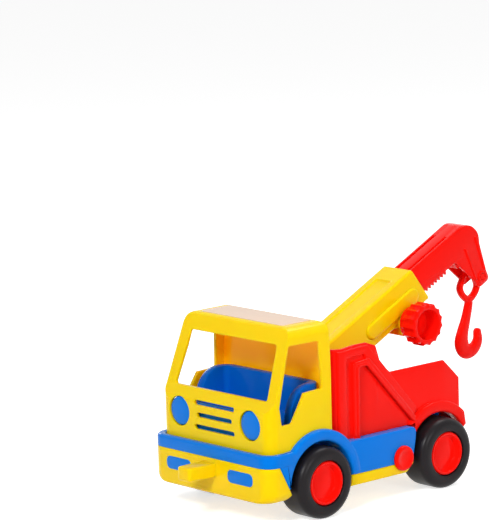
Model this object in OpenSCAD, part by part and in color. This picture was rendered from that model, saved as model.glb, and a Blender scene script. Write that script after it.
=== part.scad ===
// Toy tow truck: a push-along plastic lorry with a hollow cab, a hollow recovery bed,
// a tilting boom, a jib that a knob winds in and out, and a hook that swings on its pin.
// X points forward, Y to the truck's left, Z up from the floor. All sizes are in millimetres.

/* [Running gear] */
// Distance between the front and the rear axle
wheelbase = 158; // [154:0.5:162]
// Outer radius of the tyres, which is the height of both axles
tyre_r = 34; // [33:0.25:35]
// Width of each tyre
tyre_w = 34; // [30:0.5:35]
// Width over the outer faces of the tyres
track_w = 177; // [175:0.5:180]
// Radius of the rounded shoulders of the tyres
tyre_shoulder = 7; // [4:0.5:8]
// Radius of the hubs
hub_r = 21.4; // [19:0.1:23]
// Width of the hubs
hub_w = 26; // [22:0.5:28]
// Depth of the dish in the outer face of each hub
hub_dish = 5; // [3:0.5:7]
// Width of the raised ring around the dish
hub_ring = 3; // [2:0.5:5]
// Diameter of the axle rods
axle_d = 5; // [4:0.25:6]
// Running clearance of every shaft, on its radius
shaft_gap = 0.06; // [0.03:0.01:0.1]
// Gap between the tyres and the arches above them
arch_gap = 4.5; // [3.5:0.25:5]

/* [Chassis] */
// Width of the body over the bumper and the fenders
body_w = 164; // [162:0.5:166]
// Distance of the bumper's face ahead of the front axle
bumper_front = 68; // [66:0.5:70]
// Height of the bumper's lower edge above the floor
ground_gap = 23; // [21:0.5:24]
// Height of the joint between the side skirts and the side panels
skirt_top = 33.5; // [32:0.5:36]
// Height of the lower edge of the front band
band_bottom = 57; // [55:0.5:58]
// Height of the deck that carries the cab
deck_top = 66; // [65:0.5:67]
// Rise of the band's lip above the deck
lip_rise = 3; // [2:0.5:4]
// Radius of the front corners, seen from above
corner_r = 14; // [10:0.5:18]
// Radius of the rounded edges of the bumper, seen from the front
bumper_edge_r = 9; // [5:0.5:12]
// Gap between the wheels and the floor pan between them
wheel_gap = 6.5; // [5:0.5:8]
// Height of the top of the floor pan between the wheels
spine_top = 44; // [42:0.5:46]
// Height of the underside of the floor pan between the wheels
spine_bottom = 27; // [25:0.5:28]
// Width of the rim of the front fenders, seen from the side
fender_rim = 11; // [9:0.5:12]
// Distance of the side panels' rear edge ahead of the rear axle
panel_rear = 34; // [33:0.5:36]
// Length of the tow tongue ahead of the bumper
tongue_l = 32; // [26:0.5:36]
// Width of the tow tongue
tongue_w = 16.5; // [14:0.5:20]
// Height of the tow tongue's cross-section
tongue_h = 13; // [10:0.5:14]
// Height of the tow tongue's underside
tongue_bottom = 40; // [38:0.5:42]
// Radius of the red caps on the side panels
cap_r = 12.2; // [10:0.1:13]
// Thickness of the caps
cap_t = 4; // [3:0.5:5]
// Distance of the caps' centres ahead of the rear axle
cap_x = 56; // [54:0.5:60]
// Height of the caps' centres
cap_z = 39; // [38:0.5:42]
// Radius of the caps' stems
cap_stem_r = 4; // [3:0.25:5]

/* [Bumper lamps] */
// Width of each bumper lamp
bumper_lamp_w = 36; // [30:0.5:38]
// Height of each bumper lamp
bumper_lamp_h = 13; // [10:0.5:14]
// Distance of the bumper lamps' centres from the middle
bumper_lamp_y = 43; // [40:0.5:46]
// Height of the bumper lamps' centres
bumper_lamp_z = 44; // [42:0.5:46]
// Depth of the bumper lamps
bumper_lamp_t = 4; // [3:0.5:6]

/* [Cab] */
// Width of the cab at its foot
cab_w = 153; // [150:0.5:155]
// Width of the cab at its roof
cab_roof_w = 145; // [140:0.5:150]
// Distance of the cab's front ahead of the front axle
cab_front = 60; // [59:0.5:61]
// Distance of the cab's rear behind the front axle
cab_rear = 20.5; // [19:0.5:21]
// Height of the roof above the floor
roof_top = 182; // [178:0.5:184]
// Thickness of the cab's walls
cab_wall = 3; // [2.5:0.1:3.5]
// Radius of the long edges of the roof
roof_edge_r = 12; // [8:0.5:14]
// Height of the sill under the windscreen
sill_z = 106; // [104:0.5:108]
// Height of the lower edge of the windscreen opening
screen_bottom = 116; // [114:0.5:118]
// Height of the upper edge of the windscreen opening
screen_top = 166; // [162:0.5:168]
// Width of the windscreen opening along its lower edge
screen_bottom_w = 129; // [124:0.5:132]
// Width of the windscreen opening along its upper edge
screen_top_w = 119.5; // [114:0.5:122]
// Height of the upper edge of the side windows
side_top = 166; // [162:0.5:168]
// Height of the sill of the side windows
side_sill = 121; // [118:0.5:124]
// Height of the lower edge of the low part of the side windows
side_bottom = 94; // [92:0.5:100]
// Radius of the headlamps
lamp_r = 14; // [12:0.1:14.5]
// Distance of the headlamps' centres from the middle
lamp_y = 49.3; // [47:0.1:51]
// Height of the headlamps and of the middle grille slot
lamp_z = 93; // [91:0.5:94]
// Gap around each lamp in its hole
lamp_gap = 0.25; // [0.2:0.05:0.5]
// Distance between the grille slots
grille_pitch = 11.5; // [10:0.25:12]
// Height of each grille slot
grille_h = 4.6; // [3.5:0.1:5.5]
// Length of the upper and the lower grille slot
grille_l = 56; // [50:0.5:60]
// Length of the middle grille slot
grille_mid_l = 49; // [44:0.5:54]
// Thickness of the panel behind the grille
lamp_panel_t = 3; // [2:0.5:4]

/* [Seat] */
// Gap between the seat's side wings and the cab's walls
seat_gap = 6.5; // [5:0.5:9]
// Height of the backrest's top edge
seat_back_top = 125; // [122:0.5:128]
// Height of the seat cushion
seat_top = 92; // [88:0.5:95]
// Thickness of the backrest
seat_back_t = 10; // [8:0.5:12]
// Thickness of the side wings
seat_wing_t = 9; // [7:0.5:11]
// Reach of the side wings ahead of the backrest, at the cushion
seat_depth = 40; // [36:0.5:44]

/* [Roof label] */
// Length of the plain label on the roof
label_l = 30; // [24:0.5:34]
// Width of the plain label on the roof
label_w = 104; // [90:1:110]
// Thickness of the label
label_t = 0.6; // [0.4:0.1:1]

/* [Bed] */
// Distance of the bed's walls inside the cab's sides
bed_step = 3.5; // [3:0.25:4.5]
// Thickness of the bed's walls
bed_wall = 3.5; // [3:0.1:4]
// Distance of the bed's front behind the front axle
bed_front = 22; // [21.5:0.25:24]
// Distance of the bed's rear behind the rear axle
bed_rear = 33; // [32:0.5:35]
// Height of the tower's top edge
tower_top = 154; // [150:0.5:158]
// Height of the low side walls
wall_top = 121; // [116:0.5:124]
// Height of the tail wall
tail_top = 92; // [88:0.5:96]
// Height of the upper face of the bed's floor
bed_floor = 77; // [76:0.5:80]
// Thickness of the raised frame on the tower's sides
frame_rise = 3; // [2:0.5:4]
// Thickness of the bed's floor over the rear wheels
bed_floor_t = 3; // [2.5:0.1:3.5]
// Depth of the triangular recess below the raised frame
recess_depth = 4; // [3.5:0.25:4.5]
// Width of the rim of the rear fenders
rear_rim = 11; // [9:0.5:12]
// Height of the rear end's lower edge
tail_bottom = 50; // [48:0.5:54]
// Radius of the tower's front corners, seen from above
bed_corner_r = 9; // [6:0.5:12]

/* [Boom] */
// Tilt of the boom above the horizontal at rest
tilt = 26; // [24:0.5:28]
// Distance of the boom's pivot behind the front axle
pivot_back = 69.3; // [68:0.1:71]
// Height of the boom's pivot
pivot_z = 124.6; // [123:0.1:126]
// Height of the sleeve's cross-section
sleeve_h = 38.5; // [37.5:0.25:40]
// Width of the sleeve
sleeve_w = 39; // [37:0.5:41]
// Length of the sleeve from the pivot to the top of its mouth
sleeve_l = 135; // [132:0.5:138]
// Rake of the sleeve's mouth, from its top to its bottom edge
mouth_rake = 7.5; // [4:0.5:9]
// Thickness of the sleeve's roof above the jib
sleeve_roof = 4.7; // [4:0.1:5]
// Gap between the jib and the walls of the sleeve
jib_gap = 0.3; // [0.25:0.05:0.4]
// Radius of the boom's pivot pin
pivot_r = 5; // [4:0.25:6]
// Thickness of the two brackets that hold the pivot pin
bracket_t = 5; // [4:0.25:6]
// Gap between the sleeve and each bracket
bracket_gap = 0.5; // [0.4:0.1:0.8]
// Rise of the long pad on the sleeve's sides
pad_rise = 2.5; // [1.5:0.25:3]
// Distance of the winding shaft short of the sleeve's mouth
winder_back = 27.8; // [26:0.1:30]

/* [Jib] */
// Width of the jib
jib_w = 25; // [24:0.25:26]
// Height of the jib's cross-section above its teeth
jib_h = 27.4; // [26.5:0.1:27.8]
// Height of the rack teeth
tooth_h = 2.9; // [2.5:0.1:3.1]
// Length of the jib from the mouth to its elbow
jib_reach = 84; // [80:0.5:88]
// Length of the jib inside the sleeve
jib_tail = 88; // [84:0.5:90]
// Distance of the hook's pin past the mouth
pin_out = 84.3; // [82:0.1:86]
// Distance of the hook's pin below the jib's top face
pin_drop = 60.5; // [58:0.1:62]
// Radius of the hook's pin
hook_pin_r = 3; // [2.5:0.1:3.5]
// Radius of the jib's cheeks around the pin
cheek_r = 8.4; // [7:0.1:9]
// Number of rack teeth from the winding shaft towards the jib's tail
rack_inner = 7; // [5:1:8]
// Number of rack teeth from the winding shaft towards the elbow
rack_outer = 15; // [8:1:16]
// Width of the slot between the cheeks
slot_w = 19; // [17:0.25:20]

/* [Winder] */
// Module of the rack and of the pinion that meshes with it
gear_module = 1.5; // [1.5:0.1:1.6]
// Number of teeth on the pinion
pinion_teeth = 10; // [10:1:11]
// Width of the pinion
pinion_w = 15; // [12:0.5:16]
// Radius of the winding shaft
shaft_r = 4; // [3.5:0.1:4.5]
// Radius of the housing around the pinion
housing_r = 12.5; // [12:0.1:13]
// Radius of the knobs at their lobes
knob_r = 21; // [19:0.25:22]
// Number of lobes around each knob
knob_lobes = 15; // [12:1:18]
// Depth of the lobes
lobe_depth = 1.6; // [1:0.1:2]
// Width of each knob along its shaft
knob_w = 21.5; // [18:0.5:22]
// Distance of the knobs' outer faces from the middle
knob_out = 47.5; // [46:0.5:49]
// Radius of the round recess in each knob
knob_recess_r = 14.5; // [12:0.25:16]
// Thickness of each knob's bottom
knob_web = 5; // [4:0.5:6]

/* [Hook] */
// Thickness of the hook
hook_t = 7; // [6:0.25:8]
// Distance of the hook's middle from the truck's middle, as it hangs
hook_y = -5; // [-5:0.25:-3]
// Clearance between the hook's eye and its pin, on the radius
eye_gap = 0.1; // [0.05:0.01:0.1]
// Length of the hook from its pin to its lowest point
hook_l = 85; // [80:0.5:88]

/* [Hidden] */
$fn = 64;

// Distance of the front axle ahead of the origin
front_axle_x = 102.2;

// Places that follow from the sizes above, measured from the front axle
rear_x = -wheelbase;
half_w = body_w / 2;
wheel_y = track_w / 2 - tyre_w;
spine_w = 2 * (wheel_y - wheel_gap);
seat_w = cab_w - 2 * cab_wall - 2 * seat_gap;
arch_r = tyre_r + arch_gap;
fender_r = arch_r + fender_rim;
rear_fender_r = arch_r + rear_rim;
hub_half = track_w / 2 - 2.5;
lip_top = deck_top + lip_rise;
panel_rear_x = rear_x + panel_rear;
bed_front_x = -bed_front;
bed_rear_x = rear_x - bed_rear;
bed_w = cab_w - 2 * bed_step;
bed_half = bed_w / 2;
cap_at_x = rear_x + cap_x;
pitch_r = gear_module * pinion_teeth / 2;
tooth_pitch = PI * gear_module;
addendum = 0.87 * gear_module;

// Heights and lengths in the boom's own frame: its pivot is the origin, it lies along -X
boom_top = sleeve_h / 2;
jib_top = boom_top - sleeve_roof - jib_gap;
jib_foot = jib_top - jib_h;
tooth_tip = jib_foot - tooth_h;
winder_x = -sleeve_l + winder_back;
winder_z = tooth_tip + addendum - pitch_r;
pin_x = -sleeve_l - pin_out;
pin_z = jib_top - pin_drop;
elbow_x = -sleeve_l - jib_reach;
knob_in = knob_out - knob_w;

toy_yellow = [0.99, 0.84, 0.04];
toy_red = [0.93, 0.07, 0.05];
toy_blue = [0.02, 0.47, 0.86];
tyre_grey = [0.16, 0.16, 0.18];
steel_grey = [0.7, 0.7, 0.72];
label_white = [0.9, 0.88, 0.86];

// Moves parts drawn from the front axle to their place on the truck
module from_axle() {
    translate([front_axle_x, 0, 0]) children();
}

// Moves parts drawn in the boom's frame to their place at rest
module on_boom() {
    translate([front_axle_x - pivot_back, 0, pivot_z]) rotate([0, tilt, 0]) children();
}

// Draws its child once on each side of the truck
module both_sides() {
    for (side = [0, 1]) mirror([0, side, 0]) children();
}

// A side outline in X and Z, given its thickness from y0 to y1
module side_slab(y0, y1) {
    translate([0, y1, 0]) rotate([90, 0, 0]) linear_extrude(y1 - y0) children();
}

// A front outline in Y and Z, given its thickness from x0 to x1
module front_slab(x0, x1) {
    translate([x0, 0, 0]) rotate([90, 0, 90]) linear_extrude(x1 - x0) children();
}

// Rounds the outer corners of a flat outline
module soft(r) {
    offset(r = r, $fn = 32) offset(delta = -r) children();
}

// A round bar across the truck from y0 to y1
module cross_bar(r, y0, y1) {
    translate([0, y1, 0]) rotate([90, 0, 0]) cylinder(r = r, h = y1 - y0);
}

// The outline of the body from above, from x0 to the bumper
module body_plan(x0, front, half) {
    soft(corner_r) translate([x0, -half]) square([front - x0, 2 * half]);
}

// Cuts both wheel arches on both sides, as deep as the tyres
module arches(r, y_in) {
    for (x = [0, rear_x]) both_sides()
        translate([x, 0, tyre_r]) cross_bar(r, y_in, half_w + 20);
}

module bumper_solid() {
    intersection() {
        side_slab(-half_w, half_w) polygon([
            [bumper_front, band_bottom], [bumper_front, ground_gap], [46, ground_gap],
            [39, ground_gap + 6], [41.5, tyre_r], [53.5, band_bottom]
        ]);
        translate([0, 0, ground_gap]) linear_extrude(band_bottom - ground_gap)
            body_plan(-40, bumper_front, half_w);
        front_slab(30, bumper_front + 1) soft(bumper_edge_r)
            translate([-half_w, ground_gap]) square([body_w, 2 * band_bottom]);
    }
}

module tongue() {
    translate([bumper_front - 2, 0, tongue_bottom]) linear_extrude(tongue_h) hull() {
        translate([0, -tongue_w / 2]) square([1, tongue_w]);
        for (s = [-1, 1]) translate([tongue_l - 3, s * (tongue_w / 2 - 5)]) circle(r = 5, $fn = 32);
    }
}

// The rounded outline of a bumper lamp, grown by gap on every side
module bumper_lamp_outline(gap) {
    offset(r = gap, $fn = 32) soft(4.5)
        translate([-bumper_lamp_w / 2, bumper_lamp_z - bumper_lamp_h / 2])
            square([bumper_lamp_w, bumper_lamp_h]);
}

module floor_pan() {
    color(toy_yellow) from_axle() difference() {
        union() {
            bumper_solid();
            tongue();
            side_slab(-spine_w / 2, spine_w / 2) polygon([
                [54, spine_top], [50, spine_bottom], [rear_x - 24, spine_bottom],
                [rear_x - 30, spine_top]
            ]);
            side_slab(-half_w + 2, half_w - 2) soft(5) polygon([
                [-30, spine_top], [-30, ground_gap], [cap_at_x - 8, ground_gap],
                [cap_at_x - 18, ground_gap + 8], [cap_at_x - 17, spine_top]
            ]);
        }
        // Room for the side panels above the skirts, outside the spine
        both_sides() side_slab(spine_w / 2, half_w + 5)
            translate([rear_x, skirt_top]) square([wheelbase + 20, 40]);
        arches(arch_r, spine_w / 2);
        for (x = [0, rear_x]) translate([x, 0, tyre_r])
            cross_bar(axle_d / 2 + shaft_gap, -spine_w / 2 - 5, spine_w / 2 + 5);
        for (s = [-1, 1]) front_slab(bumper_front - bumper_lamp_t, bumper_front + 5)
            translate([s * bumper_lamp_y, 0]) bumper_lamp_outline(lamp_gap);
    }
}

module chassis() {
    color(toy_blue) from_axle() difference() {
        union() {
            // Deck and front band
            translate([0, 0, band_bottom]) linear_extrude(deck_top - band_bottom) union() {
                body_plan(-30, bumper_front, half_w);
                translate([panel_rear_x, -half_w]) square([-panel_rear_x, body_w]);
            }
            translate([0, 0, band_bottom]) linear_extrude(lip_top - band_bottom)
                intersection() {
                    body_plan(-60, bumper_front, half_w);
                    translate([35, -half_w]) square([100, body_w]);
                }
            // Fender tips in front of the wheels and solid side panels behind them
            side_slab(-half_w, half_w) polygon([
                [0, tyre_r], [41.5, tyre_r], [53.5, band_bottom], [53.5, deck_top], [0, deck_top]
            ]);
            side_slab(-half_w, half_w) polygon([
                [0, deck_top], [0, skirt_top], [panel_rear_x + 6, skirt_top],
                [panel_rear_x + 0.5, deck_top - 6], [panel_rear_x, deck_top]
            ]);
            // Rims of the front fenders
            both_sides() intersection() {
                translate([0, 0, tyre_r]) cross_bar(fender_r, cab_w / 2 + 0.3, half_w);
                translate([-60, 0, deck_top - 10]) cube([120, half_w, 60]);
            }
            // Wells over the front wheels
            both_sides() translate([0, 0, tyre_r])
                cross_bar(arch_r + 2.5, spine_w / 2, cab_w / 2 + 1);
            // Deck between the wheels, higher under the bed's rear
            translate([rear_x - 29, -spine_w / 2, spine_top])
                cube([wheelbase + 29, spine_w, deck_top - spine_top]);
            translate([rear_x - 29, -spine_w / 2, spine_top])
                cube([28.5 + panel_rear, spine_w, bed_floor - bed_floor_t - spine_top]);
        }
        arches(arch_r, spine_w / 2);
        // Room for the floor pan, the bumper, the cab and the bed
        translate([-300, -spine_w / 2 - 0.01, 0]) cube([400, spine_w + 0.02, spine_top]);
        translate([-300, -half_w - 5, -60]) cube([400, body_w + 10, skirt_top + 60]);
        side_slab(-half_w - 5, half_w + 5) polygon([
            [100, band_bottom], [53.5, band_bottom], [41.5, tyre_r], [41.5, 0], [100, 0]
        ]);
        translate([0, 0, deck_top]) linear_extrude(60)
            offset(r = 0.2) cab_plan();
        both_sides() translate([cap_at_x, 0, cap_z])
            cross_bar(cap_stem_r, half_w - 12, half_w + 5);
    }
}

module cab_plan() {
    soft(corner_r - 2) translate([-cab_rear - 20, -cab_w / 2])
        square([cab_front + cab_rear + 20, cab_w]);
}

module bumper_lamp(side) {
    color(toy_blue) from_axle() front_slab(bumper_front - bumper_lamp_t, bumper_front - 0.2)
        translate([side * bumper_lamp_y, 0]) bumper_lamp_outline(0);
}
module bumper_lamp_left() { bumper_lamp(1); }
module bumper_lamp_right() { bumper_lamp(-1); }

// A domed cap on a stem, in the side panel's hole
module side_cap() {
    color(toy_red) from_axle() translate([cap_at_x, 0, cap_z]) {
        cross_bar(cap_stem_r - 0.02, half_w - 11, half_w + 0.5);
        translate([0, half_w, 0]) rotate([-90, 0, 0])
            cylinder(r1 = cap_r, r2 = cap_r - 0.01, h = cap_t - 2);
        translate([0, half_w + cap_t - 2, 0]) rotate([-90, 0, 0])
            cylinder(r1 = cap_r, r2 = cap_r - 2.5, h = 2);
    }
}
module side_cap_left() { side_cap(); }
module side_cap_right() { mirror([0, 1, 0]) side_cap(); }

// The cab's outside, or its inside where inset is the wall's thickness
module cab_block(inset, foot) {
    intersection() {
        side_slab(-cab_w, cab_w) offset(delta = -inset) soft(6) polygon([
            [cab_front, foot], [cab_front, sill_z], [screen_foot_x, screen_bottom],
            [screen_head_x, screen_top], [screen_head_x - 6, roof_top],
            [-cab_rear, roof_top], [-cab_rear, foot]
        ]);
        translate([0, 0, foot - 20]) linear_extrude(2 * roof_top)
            offset(delta = -inset) cab_rear_square();
        front_slab(-cab_rear - 1, cab_front + 1) offset(delta = -inset) soft(roof_edge_r) polygon([
            [-cab_w / 2, foot - 20], [cab_w / 2, foot - 20], [cab_w / 2, sill_z],
            [cab_roof_w / 2, roof_top], [-cab_roof_w / 2, roof_top], [-cab_w / 2, sill_z]
        ]);
    }
}

module cab_rear_square() {
    soft(4) intersection() {
        cab_plan();
        translate([-cab_rear, -cab_w]) square([2 * cab_front + cab_rear, 2 * cab_w]);
    }
}

screen_foot_x = cab_front - 8.5;
screen_head_x = cab_front - 27;

module cab() {
    color(toy_yellow) from_axle() difference() {
        cab_block(0, deck_top - 20);
        cab_block(cab_wall, deck_top - 60);
        translate([-100, -100, 0]) cube([300, 200, deck_top]);
        // Windscreen and side windows
        front_slab(5, cab_front + 10) soft(3) polygon([
            [-screen_bottom_w / 2, screen_bottom], [screen_bottom_w / 2, screen_bottom],
            [screen_top_w / 2, screen_top], [-screen_top_w / 2, screen_top]
        ]);
        side_slab(-half_w, half_w) soft(2.5) polygon([
            [31, side_top], [-7, side_top - 0.5], [-8, side_sill], [15, side_sill - 1],
            [32, side_bottom], [45, side_bottom], [47, side_bottom + 17]
        ]);
        // Lamp holes and grille slots
        for (s = [-1, 1]) translate([cab_front - 10, s * lamp_y, lamp_z])
            rotate([0, 90, 0]) cylinder(r = lamp_r + lamp_gap, h = 20);
        for (i = [-1, 0, 1]) front_slab(cab_front - 10, cab_front + 10)
            grille_slot(lamp_z + i * grille_pitch, i == 0 ? grille_mid_l : grille_l);
        // Fender wells in the foot of the cab
        both_sides() translate([0, 0, tyre_r]) cross_bar(arch_r + 2.8, spine_w / 2, half_w);
    }
}

// The outline of one grille slot with round ends
module grille_slot(z, length) {
    hull() for (s = [-1, 1]) translate([s * (length - grille_h) / 2, z]) circle(d = grille_h);
}

module lamp_panel() {
    color(toy_blue) from_axle() {
        panel_x = cab_front - cab_wall - lamp_panel_t - 0.2;
        translate([panel_x, -60, deck_top])
            cube([lamp_panel_t, 120, sill_z - cab_wall - deck_top]);
        for (s = [-1, 1]) translate([panel_x + 1, s * lamp_y, lamp_z])
            rotate([0, 90, 0]) cylinder(r = lamp_r, h = cab_front - panel_x - 1.2);
    }
}

module seat() {
    back_x = -cab_rear + cab_wall + 0.3;
    front_x = back_x + seat_back_t;
    color(toy_blue) from_axle() difference() {
        union() {
            translate([back_x, -seat_w / 2, deck_top])
                cube([seat_back_t, seat_w, seat_back_top - deck_top]);
            side_slab(-seat_w / 2, seat_w / 2) polygon([
                [back_x, deck_top], [front_x + seat_depth, deck_top],
                [front_x + seat_depth, seat_top - 10], [front_x, seat_top]
            ]);
            both_sides() side_slab(seat_w / 2 - seat_wing_t, seat_w / 2) soft(4) polygon([
                [back_x, deck_top], [front_x + seat_depth, deck_top],
                [front_x + seat_depth - 6, seat_top], [front_x + 14, seat_back_top - 6],
                [front_x + 4, seat_back_top], [back_x, seat_back_top]
            ]);
        }
        both_sides() translate([0, 0, tyre_r])
            cross_bar(arch_r + 2.8, spine_w / 2 - 0.3, half_w);
    }
}

module roof_label() {
    color(label_white) from_axle() translate([-8, -label_w / 2, roof_top])
        cube([label_l, label_w, label_t]);
}

// The outline of the bed's side walls
module bed_side() {
    soft(3) difference() {
        polygon([
            [bed_front_x, deck_top], [bed_front_x, tower_top], [-36, tower_top - 1.5],
            [-53, tower_top], [-69, tower_top], [-80, tower_top - 4], [-87, wall_top + 12],
            [-100, wall_top], [rear_x - 13, wall_top], [bed_rear_x, wall_top - 20],
            [bed_rear_x, tail_bottom + 17], [bed_rear_x - 6, tail_bottom + 6],
            [bed_rear_x - 6, tail_bottom], [bed_rear_x, tail_bottom],
            [panel_rear_x - 0.3, tail_bottom + 8], [panel_rear_x - 0.3, deck_top + 0.01]
        ]);
        translate([rear_x, tyre_r]) circle(r = arch_r);
    }
}

// One of the two brackets that hold the boom's pin
module bracket() {
    side_slab(sleeve_w / 2 + bracket_gap, sleeve_w / 2 + bracket_gap + bracket_t) hull() {
        translate([-pivot_back, pivot_z]) circle(r = pivot_r + 6);
        translate([-pivot_back - 22, bed_floor - 1]) square([44, 1]);
    }
}

module bed() {
    tail_x = bed_rear_x + bed_wall;
    color(toy_red) from_axle() difference() {
        union() {
            // Side walls
            both_sides() side_slab(bed_half - bed_wall, bed_half) bed_side();
            // Front wall, floor and tail wall
            translate([bed_front_x - bed_wall, -bed_half + 1, deck_top])
                cube([bed_wall, bed_w - 2, tower_top - 1 - deck_top]);
            translate([panel_rear_x, -bed_half + 1, deck_top])
                cube([bed_front_x - panel_rear_x - 1, bed_w - 2, bed_floor - deck_top]);
            translate([bed_rear_x + 1, -bed_half + 1, bed_floor - bed_floor_t])
                cube([panel_rear_x - bed_rear_x, bed_w - 2, bed_floor_t]);
            translate([bed_rear_x, -bed_half + 1, tail_bottom + 17])
                cube([bed_wall, bed_w - 2, tail_top - tail_bottom - 17]);
            side_slab(-bed_half + 1, bed_half - 1) polygon([
                [bed_rear_x, tail_bottom + 17], [bed_rear_x - 6, tail_bottom + 6],
                [bed_rear_x - 6, tail_bottom], [bed_rear_x - 2.5, tail_bottom],
                [bed_rear_x - 2.5, tail_bottom + 5], [tail_x, tail_bottom + 16], [tail_x, tail_bottom + 18]
            ]);
            both_sides() bracket();
            // Raised frame and the rims of the rear fenders
            both_sides() side_slab(bed_half - 1, bed_half + frame_rise) soft(2) polygon([
                [-45, deck_top], [-47, 142], [-67, tower_top - 5], [-128, deck_top + 14],
                [-122, deck_top]
            ]);
            both_sides() intersection() {
                translate([rear_x, 0, tyre_r])
                    cross_bar(rear_fender_r, bed_half - 1, bed_half + frame_rise);
                side_slab(bed_half - 1, bed_half + frame_rise) polygon([
                    [-118, 120], [-118, deck_top + 0.01], [panel_rear_x - 0.3, deck_top],
                    [panel_rear_x - 0.3, tail_bottom + 8], [bed_rear_x - 5, tail_bottom],
                    [bed_rear_x - 5, 120]
                ]);
            }
        }
        // Triangular recess in each side
        both_sides() side_slab(bed_half + frame_rise - recess_depth, bed_half + 10) polygon([
            [-53.5, deck_top - 5], [-57, 131], [-118, deck_top - 5]
        ]);
        translate([rear_x, 0, tyre_r]) cross_bar(arch_r, -bed_w, bed_w);
        translate([-pivot_back, 0, pivot_z]) cross_bar(pivot_r + shaft_gap, -bed_half + 20, bed_half - 20);
    }
}

// The rods that carry the hubs
module axle_at(x) {
    color(steel_grey) from_axle() translate([x, 0, tyre_r])
        cross_bar(axle_d / 2, -hub_half + hub_dish + 3, hub_half - hub_dish - 3);
}
module front_axle() { axle_at(0); }
module rear_axle() { axle_at(rear_x); }

// A hub turned about its axle, its outer face towards +Y
module hub_at(x) {
    color(toy_red) from_axle() translate([x, hub_half, tyre_r]) rotate([90, 0, 0])
        rotate_extrude($fn = 96) polygon([
            [axle_d / 2, hub_dish + 2.5], [0, hub_dish + 2.5], [0, hub_dish], [hub_r - hub_ring - 1.5, hub_dish],
            [hub_r - hub_ring, 1], [hub_r - hub_ring + 1, 0], [hub_r - 1, 0], [hub_r, 1],
            [hub_r, hub_w], [axle_d / 2, hub_w]
        ]);
}
module hub_front_left() { hub_at(0); }
module hub_front_right() { mirror([0, 1, 0]) hub_at(0); }
module hub_rear_left() { hub_at(rear_x); }
module hub_rear_right() { mirror([0, 1, 0]) hub_at(rear_x); }

// A tyre with round shoulders around its hub
module tyre_at(x) {
    color(tyre_grey) from_axle() translate([x, wheel_y + tyre_w, tyre_r]) rotate([90, 0, 0])
        rotate_extrude($fn = 96) difference() {
            translate([hub_r + 0.05, 0]) intersection() {
                square([tyre_r - hub_r - 0.05, tyre_w]);
                soft(tyre_shoulder) translate([-40, 0]) square([40 + tyre_r - hub_r - 0.05, tyre_w]);
            }
        }
}
module tyre_front_left() { tyre_at(0); }
module tyre_front_right() { mirror([0, 1, 0]) tyre_at(0); }
module tyre_rear_left() { tyre_at(rear_x); }
module tyre_rear_right() { mirror([0, 1, 0]) tyre_at(rear_x); }

module boom_sleeve() {
    color(toy_yellow) on_boom() difference() {
        union() {
            side_slab(-sleeve_w / 2, sleeve_w / 2) polygon([
                [0, boom_top], [0, -boom_top], [-sleeve_l - mouth_rake + 4, -boom_top],
                [-sleeve_l - mouth_rake, -boom_top + 3], [-sleeve_l, boom_top]
            ]);
            cross_bar(boom_top, -sleeve_w / 2, sleeve_w / 2);
            // Housing of the pinion below the sleeve, and its bosses
            side_slab(-sleeve_w / 2, sleeve_w / 2) hull() {
                translate([winder_x, winder_z]) circle(r = housing_r);
                translate([winder_x - 20, -boom_top]) square([44, 2]);
            }
            translate([winder_x, 0, winder_z]) cross_bar(housing_r - 2, -knob_in + 2.5, knob_in - 2.5);
            both_sides() side_slab(sleeve_w / 2 - 1, sleeve_w / 2 + pad_rise) hull()
                for (x = [12, 72]) translate([-sleeve_l + x, boom_top - 22.75]) circle(r = 7.75);
        }
        // Channel for the jib
        side_slab(-jib_w / 2 - jib_gap, jib_w / 2 + jib_gap) polygon([
            [-14, boom_top - sleeve_roof], [-14, tooth_tip - jib_gap],
            [-sleeve_l - 20, tooth_tip - jib_gap], [-sleeve_l - 20, boom_top - sleeve_roof]
        ]);
        // Room for the pinion and the bore of its shaft
        translate([winder_x, 0, winder_z]) {
            cross_bar(pitch_r + addendum + 0.8, -pinion_w / 2 - 0.5, pinion_w / 2 + 0.5);
            cross_bar(shaft_r + shaft_gap, -knob_out, knob_out);
        }
        cross_bar(pivot_r, -sleeve_w, sleeve_w);
    }
}

module boom_pin() {
    half = sleeve_w / 2 + bracket_gap + bracket_t;
    color(steel_grey) on_boom() cross_bar(pivot_r, -half, half);
}

// The flanks of one rack tooth, pointing down from the jib's foot
module rack_tooth() {
    polygon([
        [-0.33 * tooth_pitch, 0.5], [-0.33 * tooth_pitch, 0], [-0.1 * tooth_pitch, -tooth_h],
        [0.1 * tooth_pitch, -tooth_h], [0.33 * tooth_pitch, 0], [0.33 * tooth_pitch, 0.5]
    ]);
}

// The outline of the jib: straight arm, elbow and cheeks around the hook's pin
module jib_outline() {
    soft(1.5) union() {
        polygon([
            [-sleeve_l + jib_tail, jib_top], [elbow_x, jib_top], [elbow_x - 11.5, jib_top - 7],
            [elbow_x - 16.5, jib_top - 18.5], [elbow_x - 13, jib_top - 29.5],
            [pin_x - cheek_r, pin_z], [pin_x, pin_z], [pin_x + cheek_r + 1, pin_z - 1],
            [elbow_x + 24, jib_foot], [-sleeve_l + jib_tail, jib_foot]
        ]);
        translate([pin_x, pin_z]) circle(r = cheek_r);
    }
}

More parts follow.
